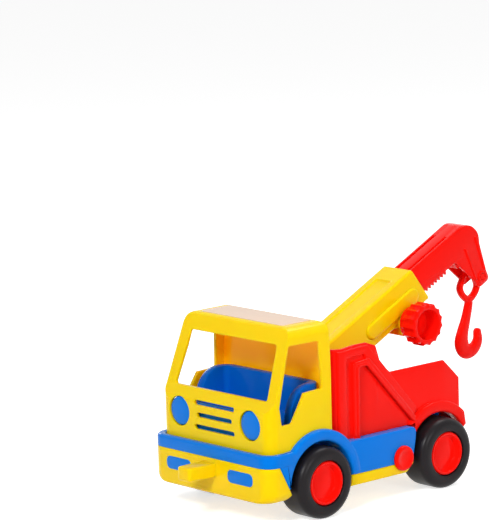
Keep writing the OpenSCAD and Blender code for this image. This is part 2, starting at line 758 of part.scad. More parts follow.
module jib() {
    color(toy_red) on_boom() difference() {
        union() {
            side_slab(-jib_w / 2, jib_w / 2) jib_outline();
            for (i = [-rack_inner : rack_outer])
                translate([winder_x - i * tooth_pitch, 0, jib_foot])
                    side_slab(-jib_w / 2, jib_w / 2) rack_tooth();
        }
        // Slot between the cheeks
        side_slab(-slot_w / 2, slot_w / 2) polygon([
            [elbow_x + 30, jib_foot - 9], [elbow_x + 2, jib_foot - 9], [elbow_x - 3, jib_foot - 18],
            [elbow_x - 30, jib_foot - 22], [elbow_x - 30, pin_z - 20], [elbow_x + 30, pin_z - 20]
        ]);
        translate([pin_x, 0, pin_z]) cross_bar(hook_pin_r, -jib_w, jib_w);
    }
}

module hook_pin() {
    color(toy_red) on_boom() translate([pin_x, 0, pin_z])
        cross_bar(hook_pin_r, -jib_w / 2 - 1, jib_w / 2 + 1);
}

// Points on a circle of radius r around [u, v], from angle a to angle b
function arc(u, v, r, a, b) = [for (i = [0 : 8]) [
    u + r * cos(a + (b - a) * i / 8), v + r * sin(a + (b - a) * i / 8)
]];

// The outline of the hook for a length of 85 mm: a loop, a neck and a bowl
module hook_form() {
    polygon(concat(
        arc(0, 0, 8, 150, 30), arc(11.5, -13, 5, 50, -38), [[5.2, -30]],
        arc(3, -45, 6.5, 0, -12), arc(11.7, -67, 9.3, 18, -25), arc(10.5, -74.5, 9, -20, -62),
        arc(2.3, -77.2, 7.8, -75, -110), arc(-7, -75, 7.8, -118, -158),
        arc(-11.2, -68.5, 6.5, -165, -195), arc(-11.2, -59.5, 4.7, 175, 10),
        arc(-1.8, -66.4, 4.1, 180, 360), [[1.8, -57], [-0.5, -46], [-5.2, -30]],
        arc(-11.5, -13, 5, 218, 130)
    ));
}

// The outline of the hook, hung from the pin at the origin
module hook_outline() {
    k = hook_l / 85;
    difference() {
        scale([k, k]) hook_form();
        // The loop's opening, round at the top where it hangs on the pin
        hull() {
            circle(r = hook_pin_r + eye_gap);
            for (s = [-1, 1]) translate([s * 5.4 * k, -13.4 * k]) circle(r = 3 * k, $fn = 32);
            translate([0, -16.4 * k]) circle(r = 3 * k, $fn = 32);
        }
    }
}

module hook() {
    color(toy_red) from_boom_pin() difference() {
        side_slab(hook_y - hook_t / 2, hook_y + hook_t / 2) hook_outline();
        cross_bar(hook_pin_r + eye_gap, -jib_w, jib_w);
    }
}

// Moves parts hung from the hook's pin, which keep upright, to their place
module from_boom_pin() {
    translate([
        front_axle_x - pivot_back + pin_x * cos(tilt) + pin_z * sin(tilt), 0,
        pivot_z - pin_x * sin(tilt) + pin_z * cos(tilt)
    ]) children();
}

// The outline of the pinion, a gap between two teeth pointing at the rack's tooth
module pinion_outline() {
    union() {
        circle(r = pitch_r - 1.25 * gear_module);
        for (i = [0 : pinion_teeth - 1]) rotate(90 + (i + 0.5) * 360 / pinion_teeth) polygon([
            [pitch_r - 1.6 * gear_module, -0.3 * tooth_pitch],
            [pitch_r, -0.2 * tooth_pitch], [pitch_r + addendum, -0.1 * tooth_pitch],
            [pitch_r + addendum, 0.1 * tooth_pitch], [pitch_r, 0.2 * tooth_pitch],
            [pitch_r - 1.6 * gear_module, 0.3 * tooth_pitch]
        ]);
    }
}

module winder_shaft() {
    color(toy_red) on_boom() translate([winder_x, 0, winder_z]) {
        cross_bar(shaft_r, -knob_in - knob_web, knob_in + knob_web);
        side_slab(-pinion_w / 2, pinion_w / 2) pinion_outline();
    }
}

// A scalloped knob with a round recess, its open face towards +Y
module knob() {
    color(toy_red) on_boom() translate([winder_x, 0, winder_z]) difference() {
        union() {
            side_slab(knob_in, knob_out) difference() {
                circle(r = knob_r, $fn = 96);
                for (i = [0 : knob_lobes - 1]) rotate(i * 360 / knob_lobes)
                    translate([knob_r + 1.9, 0]) circle(r = lobe_depth + 1.9, $fn = 24);
            }
            cross_bar(housing_r - 4, knob_in - 2.2, knob_in + 1);
        }
        cross_bar(knob_recess_r, knob_in + knob_web, knob_out + 5);
        cross_bar(shaft_r, knob_in - 5, knob_out);
    }
}
module knob_left() { knob(); }
module knob_right() { mirror([0, 1, 0]) knob(); }

floor_pan();
chassis();
bumper_lamp_left();
bumper_lamp_right();
side_cap_left();
side_cap_right();
cab();
lamp_panel();
seat();
roof_label();
bed();
front_axle();
rear_axle();
hub_front_left();
hub_front_right();
hub_rear_left();
hub_rear_right();
tyre_front_left();
tyre_front_right();
tyre_rear_left();
tyre_rear_right();
boom_sleeve();
boom_pin();
jib();
hook_pin();
hook();
winder_shaft();
knob_left();
knob_right();
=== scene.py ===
"""Looks of the toy tow truck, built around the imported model.

Lengths in this file are millimetres until a mesh is made. X points forward, Y to the truck's left and
Z up from the floor. A boom-frame point (x, y, z) is measured from the boom's pin with the boom along -x.
"""
from __future__ import annotations

import logging
import math
from collections.abc import Callable
from dataclasses import dataclass, field, replace
from enum import Enum

import bmesh
import bpy
import numpy as np
from mathutils import Matrix, Vector


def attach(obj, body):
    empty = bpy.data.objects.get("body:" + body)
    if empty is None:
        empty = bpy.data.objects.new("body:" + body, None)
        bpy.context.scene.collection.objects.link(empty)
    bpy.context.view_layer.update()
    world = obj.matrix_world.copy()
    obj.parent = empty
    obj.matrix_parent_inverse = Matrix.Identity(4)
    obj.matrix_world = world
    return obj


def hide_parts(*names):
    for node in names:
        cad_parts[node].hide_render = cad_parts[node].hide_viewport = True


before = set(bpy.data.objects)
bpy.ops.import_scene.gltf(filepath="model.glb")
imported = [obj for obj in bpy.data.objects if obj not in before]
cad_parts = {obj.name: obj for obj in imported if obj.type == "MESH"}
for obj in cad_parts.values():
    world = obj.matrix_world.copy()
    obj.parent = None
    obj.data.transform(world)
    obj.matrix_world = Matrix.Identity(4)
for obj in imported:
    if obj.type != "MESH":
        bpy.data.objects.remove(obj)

log = logging.getLogger("tow_truck")
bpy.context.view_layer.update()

MM = 0.001
FRONT_AXLE_X = 102.2
WHEELBASE = 158.0
AXLE_Z = 34.0
TILT = math.radians(26.0)
PIVOT_X = FRONT_AXLE_X - 69.3
PIVOT_Z = 124.6
DECK_Z = 66.0
SHARP_ANGLE = math.radians(32.0)

# Noises as (waves a metre, detail): the flow marks, the shine's spread and the skin.
FLOW = (28.0, 3.0)
SHEEN = (90.0, 2.0)
SKIN = (700.0, 2.0)
BUMP_HEIGHT = 0.0003
BEVEL_SAMPLES = 6

Array = np.ndarray
Point = tuple[float, float]
MIRROR = np.array([1.0, -1.0])
WINDER_AXIS: Point = (-107.2, -22.245)
WHITE = (1.0, 1.0, 1.0, 1.0)


class Side(Enum):
    """The truck's two sides, by the sign of Y."""

    LEFT = 1
    RIGHT = -1

    @property
    def word(self) -> str:
        """The side's name as the nodes write it."""
        return self.name.lower()


class Body(str, Enum):
    """The bodies of the frame that pieces ride on."""

    TRUCK = "truck_body"
    FRONT_WHEELS = "front_wheels"
    REAR_WHEELS = "rear_wheels"
    BOOM = "boom"
    JIB = "jib_arm"
    WINDER = "winder"
    HOOK = "tow_hook"


# Finishes


def add_node(tree: bpy.types.NodeTree, kind: str, values: dict | None = None, links: dict | None = None,
             **settings: object) -> bpy.types.Node:
    """Adds a node to a tree, sets it up and feeds its inputs.

    Args:
        tree: The material's or the world's tree.
        kind: The node's type, without the word that all types start with.
        values: What its inputs hold, by name or number.
        links: The sockets that feed its inputs, by name or number.
        **settings: The node's own properties.

    Returns:
        The new node.
    """
    node = tree.nodes.new("ShaderNode" + kind)
    for name, value in settings.items():
        setattr(node, name, value)
    for key, value in (values or {}).items():
        node.inputs[key].default_value = value
    for key, source in (links or {}).items():
        tree.links.new(source, node.inputs[key])
    return node


@dataclass(frozen=True)
class MouldedPlastic:
    """A glossy or satin moulded plastic with a fine skin, faint flow marks and softened edges."""

    name: str
    slot: str
    colour: tuple[float, float, float]
    roughness: float = 0.2
    spread: float = 0.04
    mottle: float = 0.03
    skin: float = 0.06
    edge: float = 0.9
    glow: float = 0.04
    gloss: float = 0.45
    depth: tuple[float, float, float] = (0.002, 0.0012, 0.0008)
    tint: float = 0.8
    metal: float = 0.0
    # Centre of a painted glow: emission on the faces that look at it, standing in for light through thin
    # walls.
    painted_glow_centre: tuple[float, float, float] | None = None

    def material(self) -> bpy.types.Material:
        """Builds the finish once and hands it out again after that.

        Returns:
            The material, with its patterns on Object coordinates.
        """
        known = bpy.data.materials.get(self.name)
        if known:
            return known
        made = bpy.data.materials.new(self.name)
        made.use_nodes = True
        tree = made.node_tree
        shader = tree.nodes["Principled BSDF"]
        place = add_node(tree, "TexCoord").outputs["Object"]
        low = tuple(c * (1.0 - self.mottle) for c in self.colour)
        high = tuple(min(1.0, c * (1.0 + self.mottle) + 0.002) for c in self.colour)
        blend = add_node(tree, "Mix", {6: (*low, 1.0), 7: (*high, 1.0)}, {0: self._noise(tree, place, *FLOW)},
                         data_type="RGBA")
        sheen = add_node(tree, "MapRange", {"To Min": self.roughness - self.spread,
                                            "To Max": self.roughness + self.spread},
                         {"Value": self._noise(tree, place, *SHEEN)})
        soft = add_node(tree, "Bevel", {"Radius": self.edge * MM}, samples=BEVEL_SAMPLES)
        bump = add_node(tree, "Bump", {"Strength": self.skin, "Distance": BUMP_HEIGHT},
                        {"Height": self._noise(tree, place, *SKIN), "Normal": soft.outputs["Normal"]})
        tree.links.new(blend.outputs[2], shader.inputs["Base Color"])
        tree.links.new(sheen.outputs["Result"], shader.inputs["Roughness"])
        tree.links.new(bump.outputs["Normal"], shader.inputs["Normal"])
        shader.inputs["Metallic"].default_value = self.metal
        shader.inputs["Specular IOR Level"].default_value = self.gloss
        shader.inputs["Subsurface Weight"].default_value = self.glow
        shader.inputs["Subsurface Radius"].default_value = self.depth
        shader.inputs["Subsurface Scale"].default_value = 1.0
        tinted = tuple(1 - self.tint * (1 - c) for c in self.colour)
        shader.inputs["Specular Tint"].default_value = (*tinted, 1.0)
        if self.painted_glow_centre:
            self._painted_glow(tree, shader, place)
        return made

    def _painted_glow(self, tree: bpy.types.NodeTree, shader: bpy.types.ShaderNode,
                       place: bpy.types.NodeSocket) -> None:
        """Adds a painted glow, a warm emission in place of the light through thin walls and its bounce
        inside, on the faces that look at a centre.

        A face's share grows with (centre - place) . normal from 22 to 31 mm, falls to 0.4 at 70 mm, and
        ends in front of the centre, so the rims of the windows stay plain.

        Args:
            tree: The material's tree.
            shader: The shader that gets the painted glow.
            place: The Object coordinates.
        """
        centre = tuple(c * MM for c in self.painted_glow_centre)
        front = (self.painted_glow_centre[0] + 12.0) * MM
        inward = add_node(tree, "VectorMath", {0: centre}, {1: place}, operation="SUBTRACT")
        normal = add_node(tree, "NewGeometry").outputs["Normal"]
        facing = add_node(tree, "VectorMath", None, {0: inward.outputs[0], 1: normal},
                          operation="DOT_PRODUCT").outputs["Value"]
        ahead = add_node(tree, "SeparateXYZ", None, {0: place}).outputs["X"]
        ends = ("From Min", "From Max", "To Min", "To Max")
        shares = [add_node(tree, "MapRange", dict(zip(ends, limits)), {"Value": value}).outputs["Result"]
                  for value, limits in ((facing, (0.022, 0.031, 0.0, 1.0)),
                                        (facing, (0.04, 0.07, 1.0, 0.4)),
                                        (ahead, (front - 0.014, front, 1.0, 0.0)))]
        strength = shares[0]
        for share in shares[1:]:
            strength = add_node(tree, "Math", None, {0: strength, 1: share}, operation="MULTIPLY").outputs[0]
        # Painted glow: an orange emission on the inner faces, in place of light through the walls and its
        # warm bounce.
        tree.links.new(strength, shader.inputs["Emission Strength"])
        shader.inputs["Emission Color"].default_value = (0.3, 0.035, 0.0, 1.0)

    @staticmethod
    def _noise(tree: bpy.types.NodeTree, place: bpy.types.NodeSocket, scale: float,
               detail: float) -> bpy.types.NodeSocket:
        """Adds a noise of that many waves a metre and returns its factor."""
        waves = add_node(tree, "TexNoise", {"Scale": scale, "Detail": detail}, {"Vector": place})
        return waves.outputs["Fac"]


YELLOW = MouldedPlastic("yellow_finish", "yellow_plastic", (0.98, 0.65, 0.001), edge=1.3, glow=0.35,
                        gloss=0.28, depth=(0.006, 0.0025, 0.0002), tint=0.9)
# The cab's finish adds a painted glow on its inner faces, an emission that stands in for light through the
# walls.
CAB = replace(YELLOW, name="cab_finish", painted_glow_centre=(FRONT_AXLE_X + 15.0, 0.0, 125.0))
BLUE = MouldedPlastic("blue_finish", "blue_plastic", (0.0, 0.19, 0.74), 0.14, gloss=0.28, tint=0.95)
# The seat's blue is darker than the other blue parts: painted shade for the shade inside the cab.
SEAT_BLUE_PAINTED_SHADE = replace(BLUE, name="seat_finish", colour=(0.0, 0.12, 0.6), gloss=0.15)
RED = MouldedPlastic("red_finish", "red_plastic", (0.98, 0.006, 0.002), 0.16, gloss=0.24, tint=0.95)
TYRE = MouldedPlastic("tyre_finish", "tyre_plastic", (0.01, 0.008, 0.0095), 0.34, spread=0.06, mottle=0.1,
                      skin=0.2, glow=0.0, gloss=0.14, tint=0.0)
STEEL = MouldedPlastic("steel_finish", "axle_steel", (0.5, 0.5, 0.52), 0.35, spread=0.08, mottle=0.05,
                       skin=0.1, edge=0.3, glow=0.0, tint=0.0, metal=1.0)
LABEL = MouldedPlastic("label_finish", "label_film", (0.8, 0.61, 0.48), 0.35, spread=0.05, mottle=0.02,
                       skin=0.03, edge=0.2, glow=0.0, gloss=0.1, tint=0.0)


# Shapes worked out on grids


@dataclass
class Patchwork:
    """Points and faces of one piece, gathered patch by patch."""

    points: list[Array] = field(default_factory=list)
    faces: list[Array] = field(default_factory=list)
    count: int = 0

    def grid(self, rows: Array, round_rows: bool = False, caps: bool = True) -> None:
        """Adds a surface of rows x columns points whose columns close on themselves.

        The face between row i and i + 1 and column j and j + 1 has those four points.

        Args:
            rows: The points, as an array of rows x columns x 3.
            round_rows: Whether the last row joins the first, as on a ring.
            caps: Whether the first and the last row are each closed by a flat face.
        """
        n, m = rows.shape[:2]
        index = self.count + np.arange(n * m).reshape(n, m)
        below = index if round_rows else index[:-1]
        above = np.roll(index, -1, axis=0) if round_rows else index[1:]
        quads = np.stack([below, np.roll(below, -1, axis=1), np.roll(above, -1, axis=1), above], axis=-1)
        self.faces.append(quads.reshape(-1, 4))
        if caps and not round_rows:
            self.faces += [index[:1, ::-1], index[-1:]]
        self.points.append(rows.reshape(-1, 3))
        self.count += n * m

    def moved(self, move: Callable[[Array], Array]) -> Patchwork:
        """Returns the same patches with move applied to each array of points."""
        return Patchwork([move(p) for p in self.points], self.faces, self.count)

    def on(self, side: Side) -> Patchwork:
        """Returns left-hand patches as they are, or their mirror images for the right."""
        return self.moved(lambda p: p * np.array([1.0, side.value, 1.0]))

    def mirrored(self) -> Patchwork:
        """Joins left-hand patches with their mirror images.

        Returns:
            The patches of both sides of the truck.
        """
        turned_round = [block[:, ::-1] + self.count for block in self.faces]
        return Patchwork(self.points + self.on(Side.RIGHT).points, self.faces + turned_round, 2 * self.count)

    def build(self, name: str) -> bpy.types.Object:
        """Makes the mesh object in metres, merged, facing outwards and smooth up to the sharp angle.

        Args:
            name: The name of the piece.

        Returns:
            The new object, linked to the scene.
        """
        mesh = bpy.data.meshes.new(name)
        faces = [face for block in self.faces for face in block.tolist()]
        mesh.from_pydata((np.concatenate(self.points) * MM).tolist(), [], faces)
        shape = bmesh.new()
        shape.from_mesh(mesh)
        bmesh.ops.remove_doubles(shape, verts=shape.verts, dist=1e-6)
        bmesh.ops.recalc_face_normals(shape, faces=shape.faces)
        shape.to_mesh(mesh)
        shape.free()
        mesh.shade_smooth()
        mesh.set_sharp_from_angle(angle=SHARP_ANGLE)
        piece = bpy.data.objects.new(name, mesh)
        bpy.context.scene.collection.objects.link(piece)
        return piece


def gather(parts: list[Patchwork]) -> Patchwork:
    """One patchwork of several.

    Args:
        parts: The patchworks.

    Returns:
        All their patches, the faces renumbered in order.
    """
    whole = Patchwork()
    for part in parts:
        whole.faces += [block + whole.count for block in part.faces]
        whole.points += part.points
        whole.count += part.count
    return whole


def chain(*runs: Array | list[Point] | Point) -> Array:
    """Single points and runs of points joined end to end, as an array of points x 2."""
    return np.concatenate([np.array(run, float).reshape(-1, 2) for run in runs])


def arc(centre: Point, radius: float, first: float, last: float, steps: int) -> Array:
    """Points on an arc about a centre, centre + radius (cos a, sin a), with its ends in degrees."""
    turns = np.radians(np.linspace(first, last, steps))
    return np.array(centre) + radius * np.column_stack([np.cos(turns), np.sin(turns)])


def smooth_step(share: Array) -> Array:
    """A share below 0 gives 0, above 1 gives 1, and between them s squared times 3 - 2 s."""
    inside = np.clip(share, 0, 1)
    return inside ** 2 * (3 - 2 * inside)


def rounded(corners: list[tuple[float, ...]], radius: float = 0.0, steps: int = 6) -> Array:
    """A closed outline whose corners are arcs.

    Each corner gives way to the arc that touches both its edges: the arc's centre lies on the bisector,
    at radius over the sine of half the corner's angle, and the touch points radius over the tangent away.

    Args:
        corners: The corners, each with an own radius as an optional third number.
        radius: The radius of the corners that have none.
        steps: The number of segments in each arc.

    Returns:
        The outline as an array of points x 2.
    """
    flat = np.array([c[:2] for c in corners], float)
    radii = [c[2] if len(c) > 2 else radius for c in corners]
    out: list[Array] = []
    for here, before, after, r in zip(flat, np.roll(flat, 1, 0), np.roll(flat, -1, 0), radii):
        u, v = before - here, after - here
        reach = 0.49 * min(np.linalg.norm(u), np.linalg.norm(v))
        u, v = u / np.linalg.norm(u), v / np.linalg.norm(v)
        half = math.acos(max(-1.0, min(1.0, float(u @ v)))) / 2
        if r <= 0 or half > 1.55:
            out.append(here[None])
            continue
        cut = min(r / math.tan(half), reach)
        r = cut * math.tan(half)
        middle = here + (u + v) / np.linalg.norm(u + v) * r / math.sin(half)
        a, b = here + u * cut - middle, here + v * cut - middle
        turn = math.atan2(a[0] * b[1] - a[1] * b[0], float(a @ b))
        t = np.linspace(0, turn, steps + 1)[:, None]
        out.append(middle + a * np.cos(t) + np.array([-a[1], a[0]]) * np.sin(t))
    return np.concatenate(out)


def inset(outline: Array, distance: float) -> Array:
    """The outline moved inwards: each point goes along the bisector of its edges' normals, mitred.

    Args:
        outline: A closed outline that runs counter-clockwise.
        distance: How far its edges move inwards.

    Returns:
        The new outline, point for point.
    """
    edge = np.roll(outline, -1, 0) - outline
    length = np.maximum(np.linalg.norm(edge, axis=1, keepdims=True), 1e-9)
    normal = np.stack([-edge[:, 1], edge[:, 0]], 1) / length
    mean = normal + np.roll(normal, 1, 0)
    size = np.maximum(np.linalg.norm(mean, axis=1, keepdims=True), 0.5)
    return outline + mean / size * (distance * np.minimum(2.0 / size, 1.6))


def counter_clockwise(outline: Array) -> Array:
    """The outline, turned round if its area by the shoelace formula is negative.

    Args:
        outline: A closed outline.

    Returns:
        The outline, running counter-clockwise.
    """
    x, y = outline.T
    area = float(np.sum(x * np.roll(y, -1) - np.roll(x, -1) * y))
    return outline if area > 0 else outline[::-1]


def edge_steps(low: float, high: float, soft_low: float, soft_high: float) -> list[Point]:
    """Depths and insets of a plate's rows: a quarter circle at each face.

    Args:
        low: The depth of one face.
        high: The depth of the other face.
        soft_low: The radius of the first face's edge.
        soft_high: The radius of the other face's edge.

    Returns:
        The rows, as (depth, inset).
    """
    turns = np.linspace(0, math.pi / 2, 5)
    start = [(low + soft_low * (1 - math.sin(t)), soft_low * (1 - math.cos(t))) for t in turns[::-1]]
    stop = [(high - soft_high * (1 - math.sin(t)), soft_high * (1 - math.cos(t))) for t in turns]
    return (start if soft_low > 0 else [(low, 0.0)]) + (stop if soft_high > 0 else [(high, 0.0)])


def side_plate(outline: Array, low: float, high: float, soft: float | tuple[float, float]) -> Patchwork:
    """A plate whose outline lies in X and Z and whose thickness runs along Y, with rounded edges.

    Args:
        outline: The closed outline.
        low: The Y of one face.
        high: The Y of the other face.
        soft: The radius of the edges, or one for each face.

    Returns:
        The plate's patches.
    """
    outline = counter_clockwise(outline)
    soft_low, soft_high = soft if isinstance(soft, tuple) else (soft, soft)
    rows = []
    for depth, cut in edge_steps(low, high, soft_low, soft_high):
        flat = inset(outline, cut)
        rows.append(np.stack([flat[:, 0], np.full(len(flat), depth), flat[:, 1]], 1))
    plate = Patchwork()
    plate.grid(np.array(rows))
    return plate


def block(x0: float, x1: float, z0: float, z1: float, y0: float, y1: float) -> Patchwork:
    """A plain box between two values each of X, Z and Y, its edges barely softened."""
    return side_plate(rounded([(x0, z0), (x1, z0), (x1, z1), (x0, z1)]), y0, y1, 0.4)


def laid_flat(points: Array) -> Array:
    """Points of a side plate turned so that its outline lies in X and Y and its thickness runs along Z."""
    return points[:, [0, 2, 1]]


def faced_forward(points: Array) -> Array:
    """Points of a side plate turned so that its outline lies in Y and Z and its thickness runs along X."""
    return points[:, [1, 0, 2]]


def standing_wall(outer: Array, inner: Array, foot: Array, top: Array, soft: float, closed: bool = False,
                  soft_foot: float = 0.0) -> Patchwork:
    """A wall between two lines of a plan, which follows them station by station.

    At each station the section runs up the outer side, over the top edge with quarter circles and down
    the inner side. A corner point lies at inset r (1 - cos t) and depth r (1 - sin t) below the edge.

    Args:
        outer: The wall's outer line, as points x 2.
        inner: Its inner line, point for point.
        foot: The height of the wall's foot at each point.
        top: The height of its top at each point.
        soft: The radius of the two upper edges.
        closed: Whether the wall returns to its start.
        soft_foot: The radius of the outer lower edge.

    Returns:
        The wall's patches.
    """
    across = inner - outer
    width = np.linalg.norm(across, axis=1, keepdims=True)
    across = across / np.maximum(width, 1e-6)
    foot, top = (np.broadcast_to(np.asarray(v, float), len(outer)) for v in (foot, top))
    turns = np.linspace(0, math.pi / 2, 5)
    ring: list[tuple[Array, Array]] = [(width, foot)]
    for t in (turns[::-1] if soft_foot else []):
        cut = np.full_like(width, soft_foot * (1 - math.cos(t)))
        ring.append((cut, foot + soft_foot * (1 - math.sin(t))))
    if not soft_foot:
        ring.append((0 * width, foot))
    for t in turns:
        ring.append((np.full_like(width, soft * (1 - math.cos(t))), top - soft * (1 - math.sin(t))))
    for t in turns[::-1]:
        ring.append((width - soft * (1 - math.cos(t)), top - soft * (1 - math.sin(t))))
    rows = np.stack([np.column_stack([outer + across * reach, height]) for reach, height in ring], 1)
    wall = Patchwork()
    wall.grid(rows, round_rows=closed)
    return wall


def turned(profile: Array | list[Point], centre: Point, steps: int = 96, flutes: int = 0,
           flute_depth: float = 0.0, flute_from: float = 0.0) -> Patchwork:
    """A profile of (radius, y) turned about a line along Y.

    A point at angle a lies at centre + radius (cos a, sin a), where flutes pull the radius in by
    depth |sin(flutes a / 2)| as far as it lies outside flute_from.

    Args:
        profile: The profile, closed if it returns to its first point.
        centre: The X and Z of the line.
        steps: The number of segments around.
        flutes: The number of hollow flutes around the rim.
        flute_depth: The depth of the flutes.
        flute_from: The radius below which the flutes fade out.

    Returns:
        The turned patches.
    """
    profile = np.array(profile, float)
    angle = np.linspace(0, 2 * math.pi, steps, endpoint=False)
    radius, along = profile.T
    share = np.clip((radius - flute_from) / 3.0, 0, 1) if flutes else np.zeros_like(radius)
    wave = np.abs(np.sin(flutes * angle / 2))
    r = radius[:, None] - flute_depth * share[:, None] * wave[None]
    rows = np.stack([centre[0] + r * np.cos(angle), np.broadcast_to(along[:, None], r.shape),
                     centre[1] + r * np.sin(angle)], -1)
    body = Patchwork()
    body.grid(rows, caps=bool(np.any(profile[0] != profile[-1])))
    return body


def smooth_path(knots: Array, closed: bool, steps: int = 8) -> Array:
    """A curve through all knots, a cubic from each to the next.

    The slope at a knot is half the way from the knot before it to the one after it.

    Args:
        knots: The knots, one row each, of any number of values.
        closed: Whether the curve returns to its first knot.
        steps: The number of points from one knot to the next.

    Returns:
        The points of the curve.
    """
    if closed:
        p = np.concatenate([knots[-1:], knots, knots[:2]])
    else:
        p = np.concatenate([2 * knots[:1] - knots[1:2], knots, 2 * knots[-1:] - knots[-2:-1]])
    t = np.linspace(0, 1, steps, endpoint=False)[None, :, None]
    a, b, c, d = (p[i:len(p) - 3 + i, None] for i in range(4))
    curve = b + 0.5 * t * (c - a + t * (2 * a - 5 * b + 4 * c - d + t * (3 * (b - c) + d - a)))
    curve = curve.reshape(-1, knots.shape[1])
    return curve if closed else np.concatenate([curve, knots[-1:]])


def boom_frame(points: Array) -> Array:
    """Boom-frame points turned by the tilt about Y and moved to the boom's pin.

    Args:
        points: The points, with X, Y and Z last.

    Returns:
        The points in the truck's frame.
    """
    x, y, z = points[..., 0], points[..., 1], points[..., 2]
    return np.stack([PIVOT_X + x * math.cos(TILT) + z * math.sin(TILT), y,
                     PIVOT_Z - x * math.sin(TILT) + z * math.cos(TILT)], -1)


def fit_out(piece: bpy.types.Object, body: Body, finish: MouldedPlastic, *nodes: str) -> None:
    """Dresses a piece, lets it ride on its body and stand for CAD nodes.

    Args:
        piece: The piece.
        body: The body that it rides on.
        finish: Its finish.
        *nodes: The CAD nodes that it stands for.
    """
    piece.data.materials.clear()
    piece.data.materials.append(finish.material())
    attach(piece, body.value)
    if nodes:
        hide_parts(*nodes)
    log.info("%s: %d faces on %s", piece.name, len(piece.data.polygons), body.value)


# Sub-assemblies


@dataclass
class Wheelset:
    """One axle's two wheels: tyres with round shoulders on dished hubs."""

    body: Body
    axle_x: float
    tyre_r: float = 34.0
    outer_y: float = 88.5
    width: float = 34.0
    shoulder: float = 7.0
    hub_r: float = 21.4
    hub_face: float = 87.6

    def tyre(self) -> Patchwork:
        """The tyre: a closed ring with a flat tread, quarter-round shoulders and a bead at the hub.

        Returns:
            The left tyre's patches.
        """
        face, soft, r_in, top = self.outer_y, self.shoulder, self.hub_r + 0.1, self.tyre_r - self.shoulder
        back = face - self.width
        bead = [(r_in, face - soft), (r_in, face - 1.3), (r_in + 0.5, face - 0.4), (r_in + 1.5, face)]
        tread = [(self.tyre_r, back + self.width * share) for share in (0.7, 0.5, 0.3)]
        outer = arc((top, face - soft), soft, 90, 0, 9)
        inner = arc((top, back + soft), soft, 0, -90, 9)
        profile = chain(bead, outer, tread, inner, (r_in, back), bead[0])
        return turned(profile, (self.axle_x, AXLE_Z), 128)

    def hub(self) -> Patchwork:
        """The hub: a rolled ring around a dish with a slightly crowned floor.

        Returns:
            The left hub's patches.
        """
        rings = [(0.0, 5.6), (7.0, 5.8), (12.0, 6.2), (15.0, 6.7), (15.9, 6.6), (16.4, 6.0), (17.4, 2.2),
                 (17.8, 1.0), (18.3, 0.3), (19.0, 0.0), (19.7, 0.1), (20.4, 0.6), (20.8, 1.5), (20.9, 3.4),
                 (self.hub_r, 3.6), (self.hub_r, 27.0), (2.5, 27.0)]
        return turned([(r, self.hub_face - depth) for r, depth in rings], (self.axle_x, AXLE_Z), 96)

    def build(self) -> None:
        """Makes both wheels."""
        place = self.body.value.split("_")[0]
        for side in Side:
            for kind, shape, finish in (("tyre", self.tyre(), TYRE), ("hub", self.hub(), RED)):
                node = f"{kind}_{place}_{side.word}"
                fit_out(shape.on(side).build(f"{node}_look"), self.body, finish, node)


@dataclass
class SideCap:
    """The round cap on each side panel, with a shallow dimple."""

    x: float = FRONT_AXLE_X - 104.2
    z: float = 38.4
    r: float = 12.1
    foot_y: float = 82.0

    def build(self) -> None:
        """Makes the caps of both sides."""
        rings = [(0.0, 2.5), (4.0, 2.6), (7.0, 2.9), (8.2, 3.3), (9.2, 3.6), (10.2, 3.5), (11.2, 3.0),
                 (11.8, 2.2), (self.r, 1.1), (self.r, 0.0), (4.0, 0.0), (4.0, -10.0), (0.0, -10.0)]
        shape = turned([(r, self.foot_y + height) for r, height in rings], (self.x, self.z), 64)
        for side in Side:
            node = f"side_cap_{side.word}"
            fit_out(shape.on(side).build(f"{node}_look"), Body.TRUCK, RED, node)


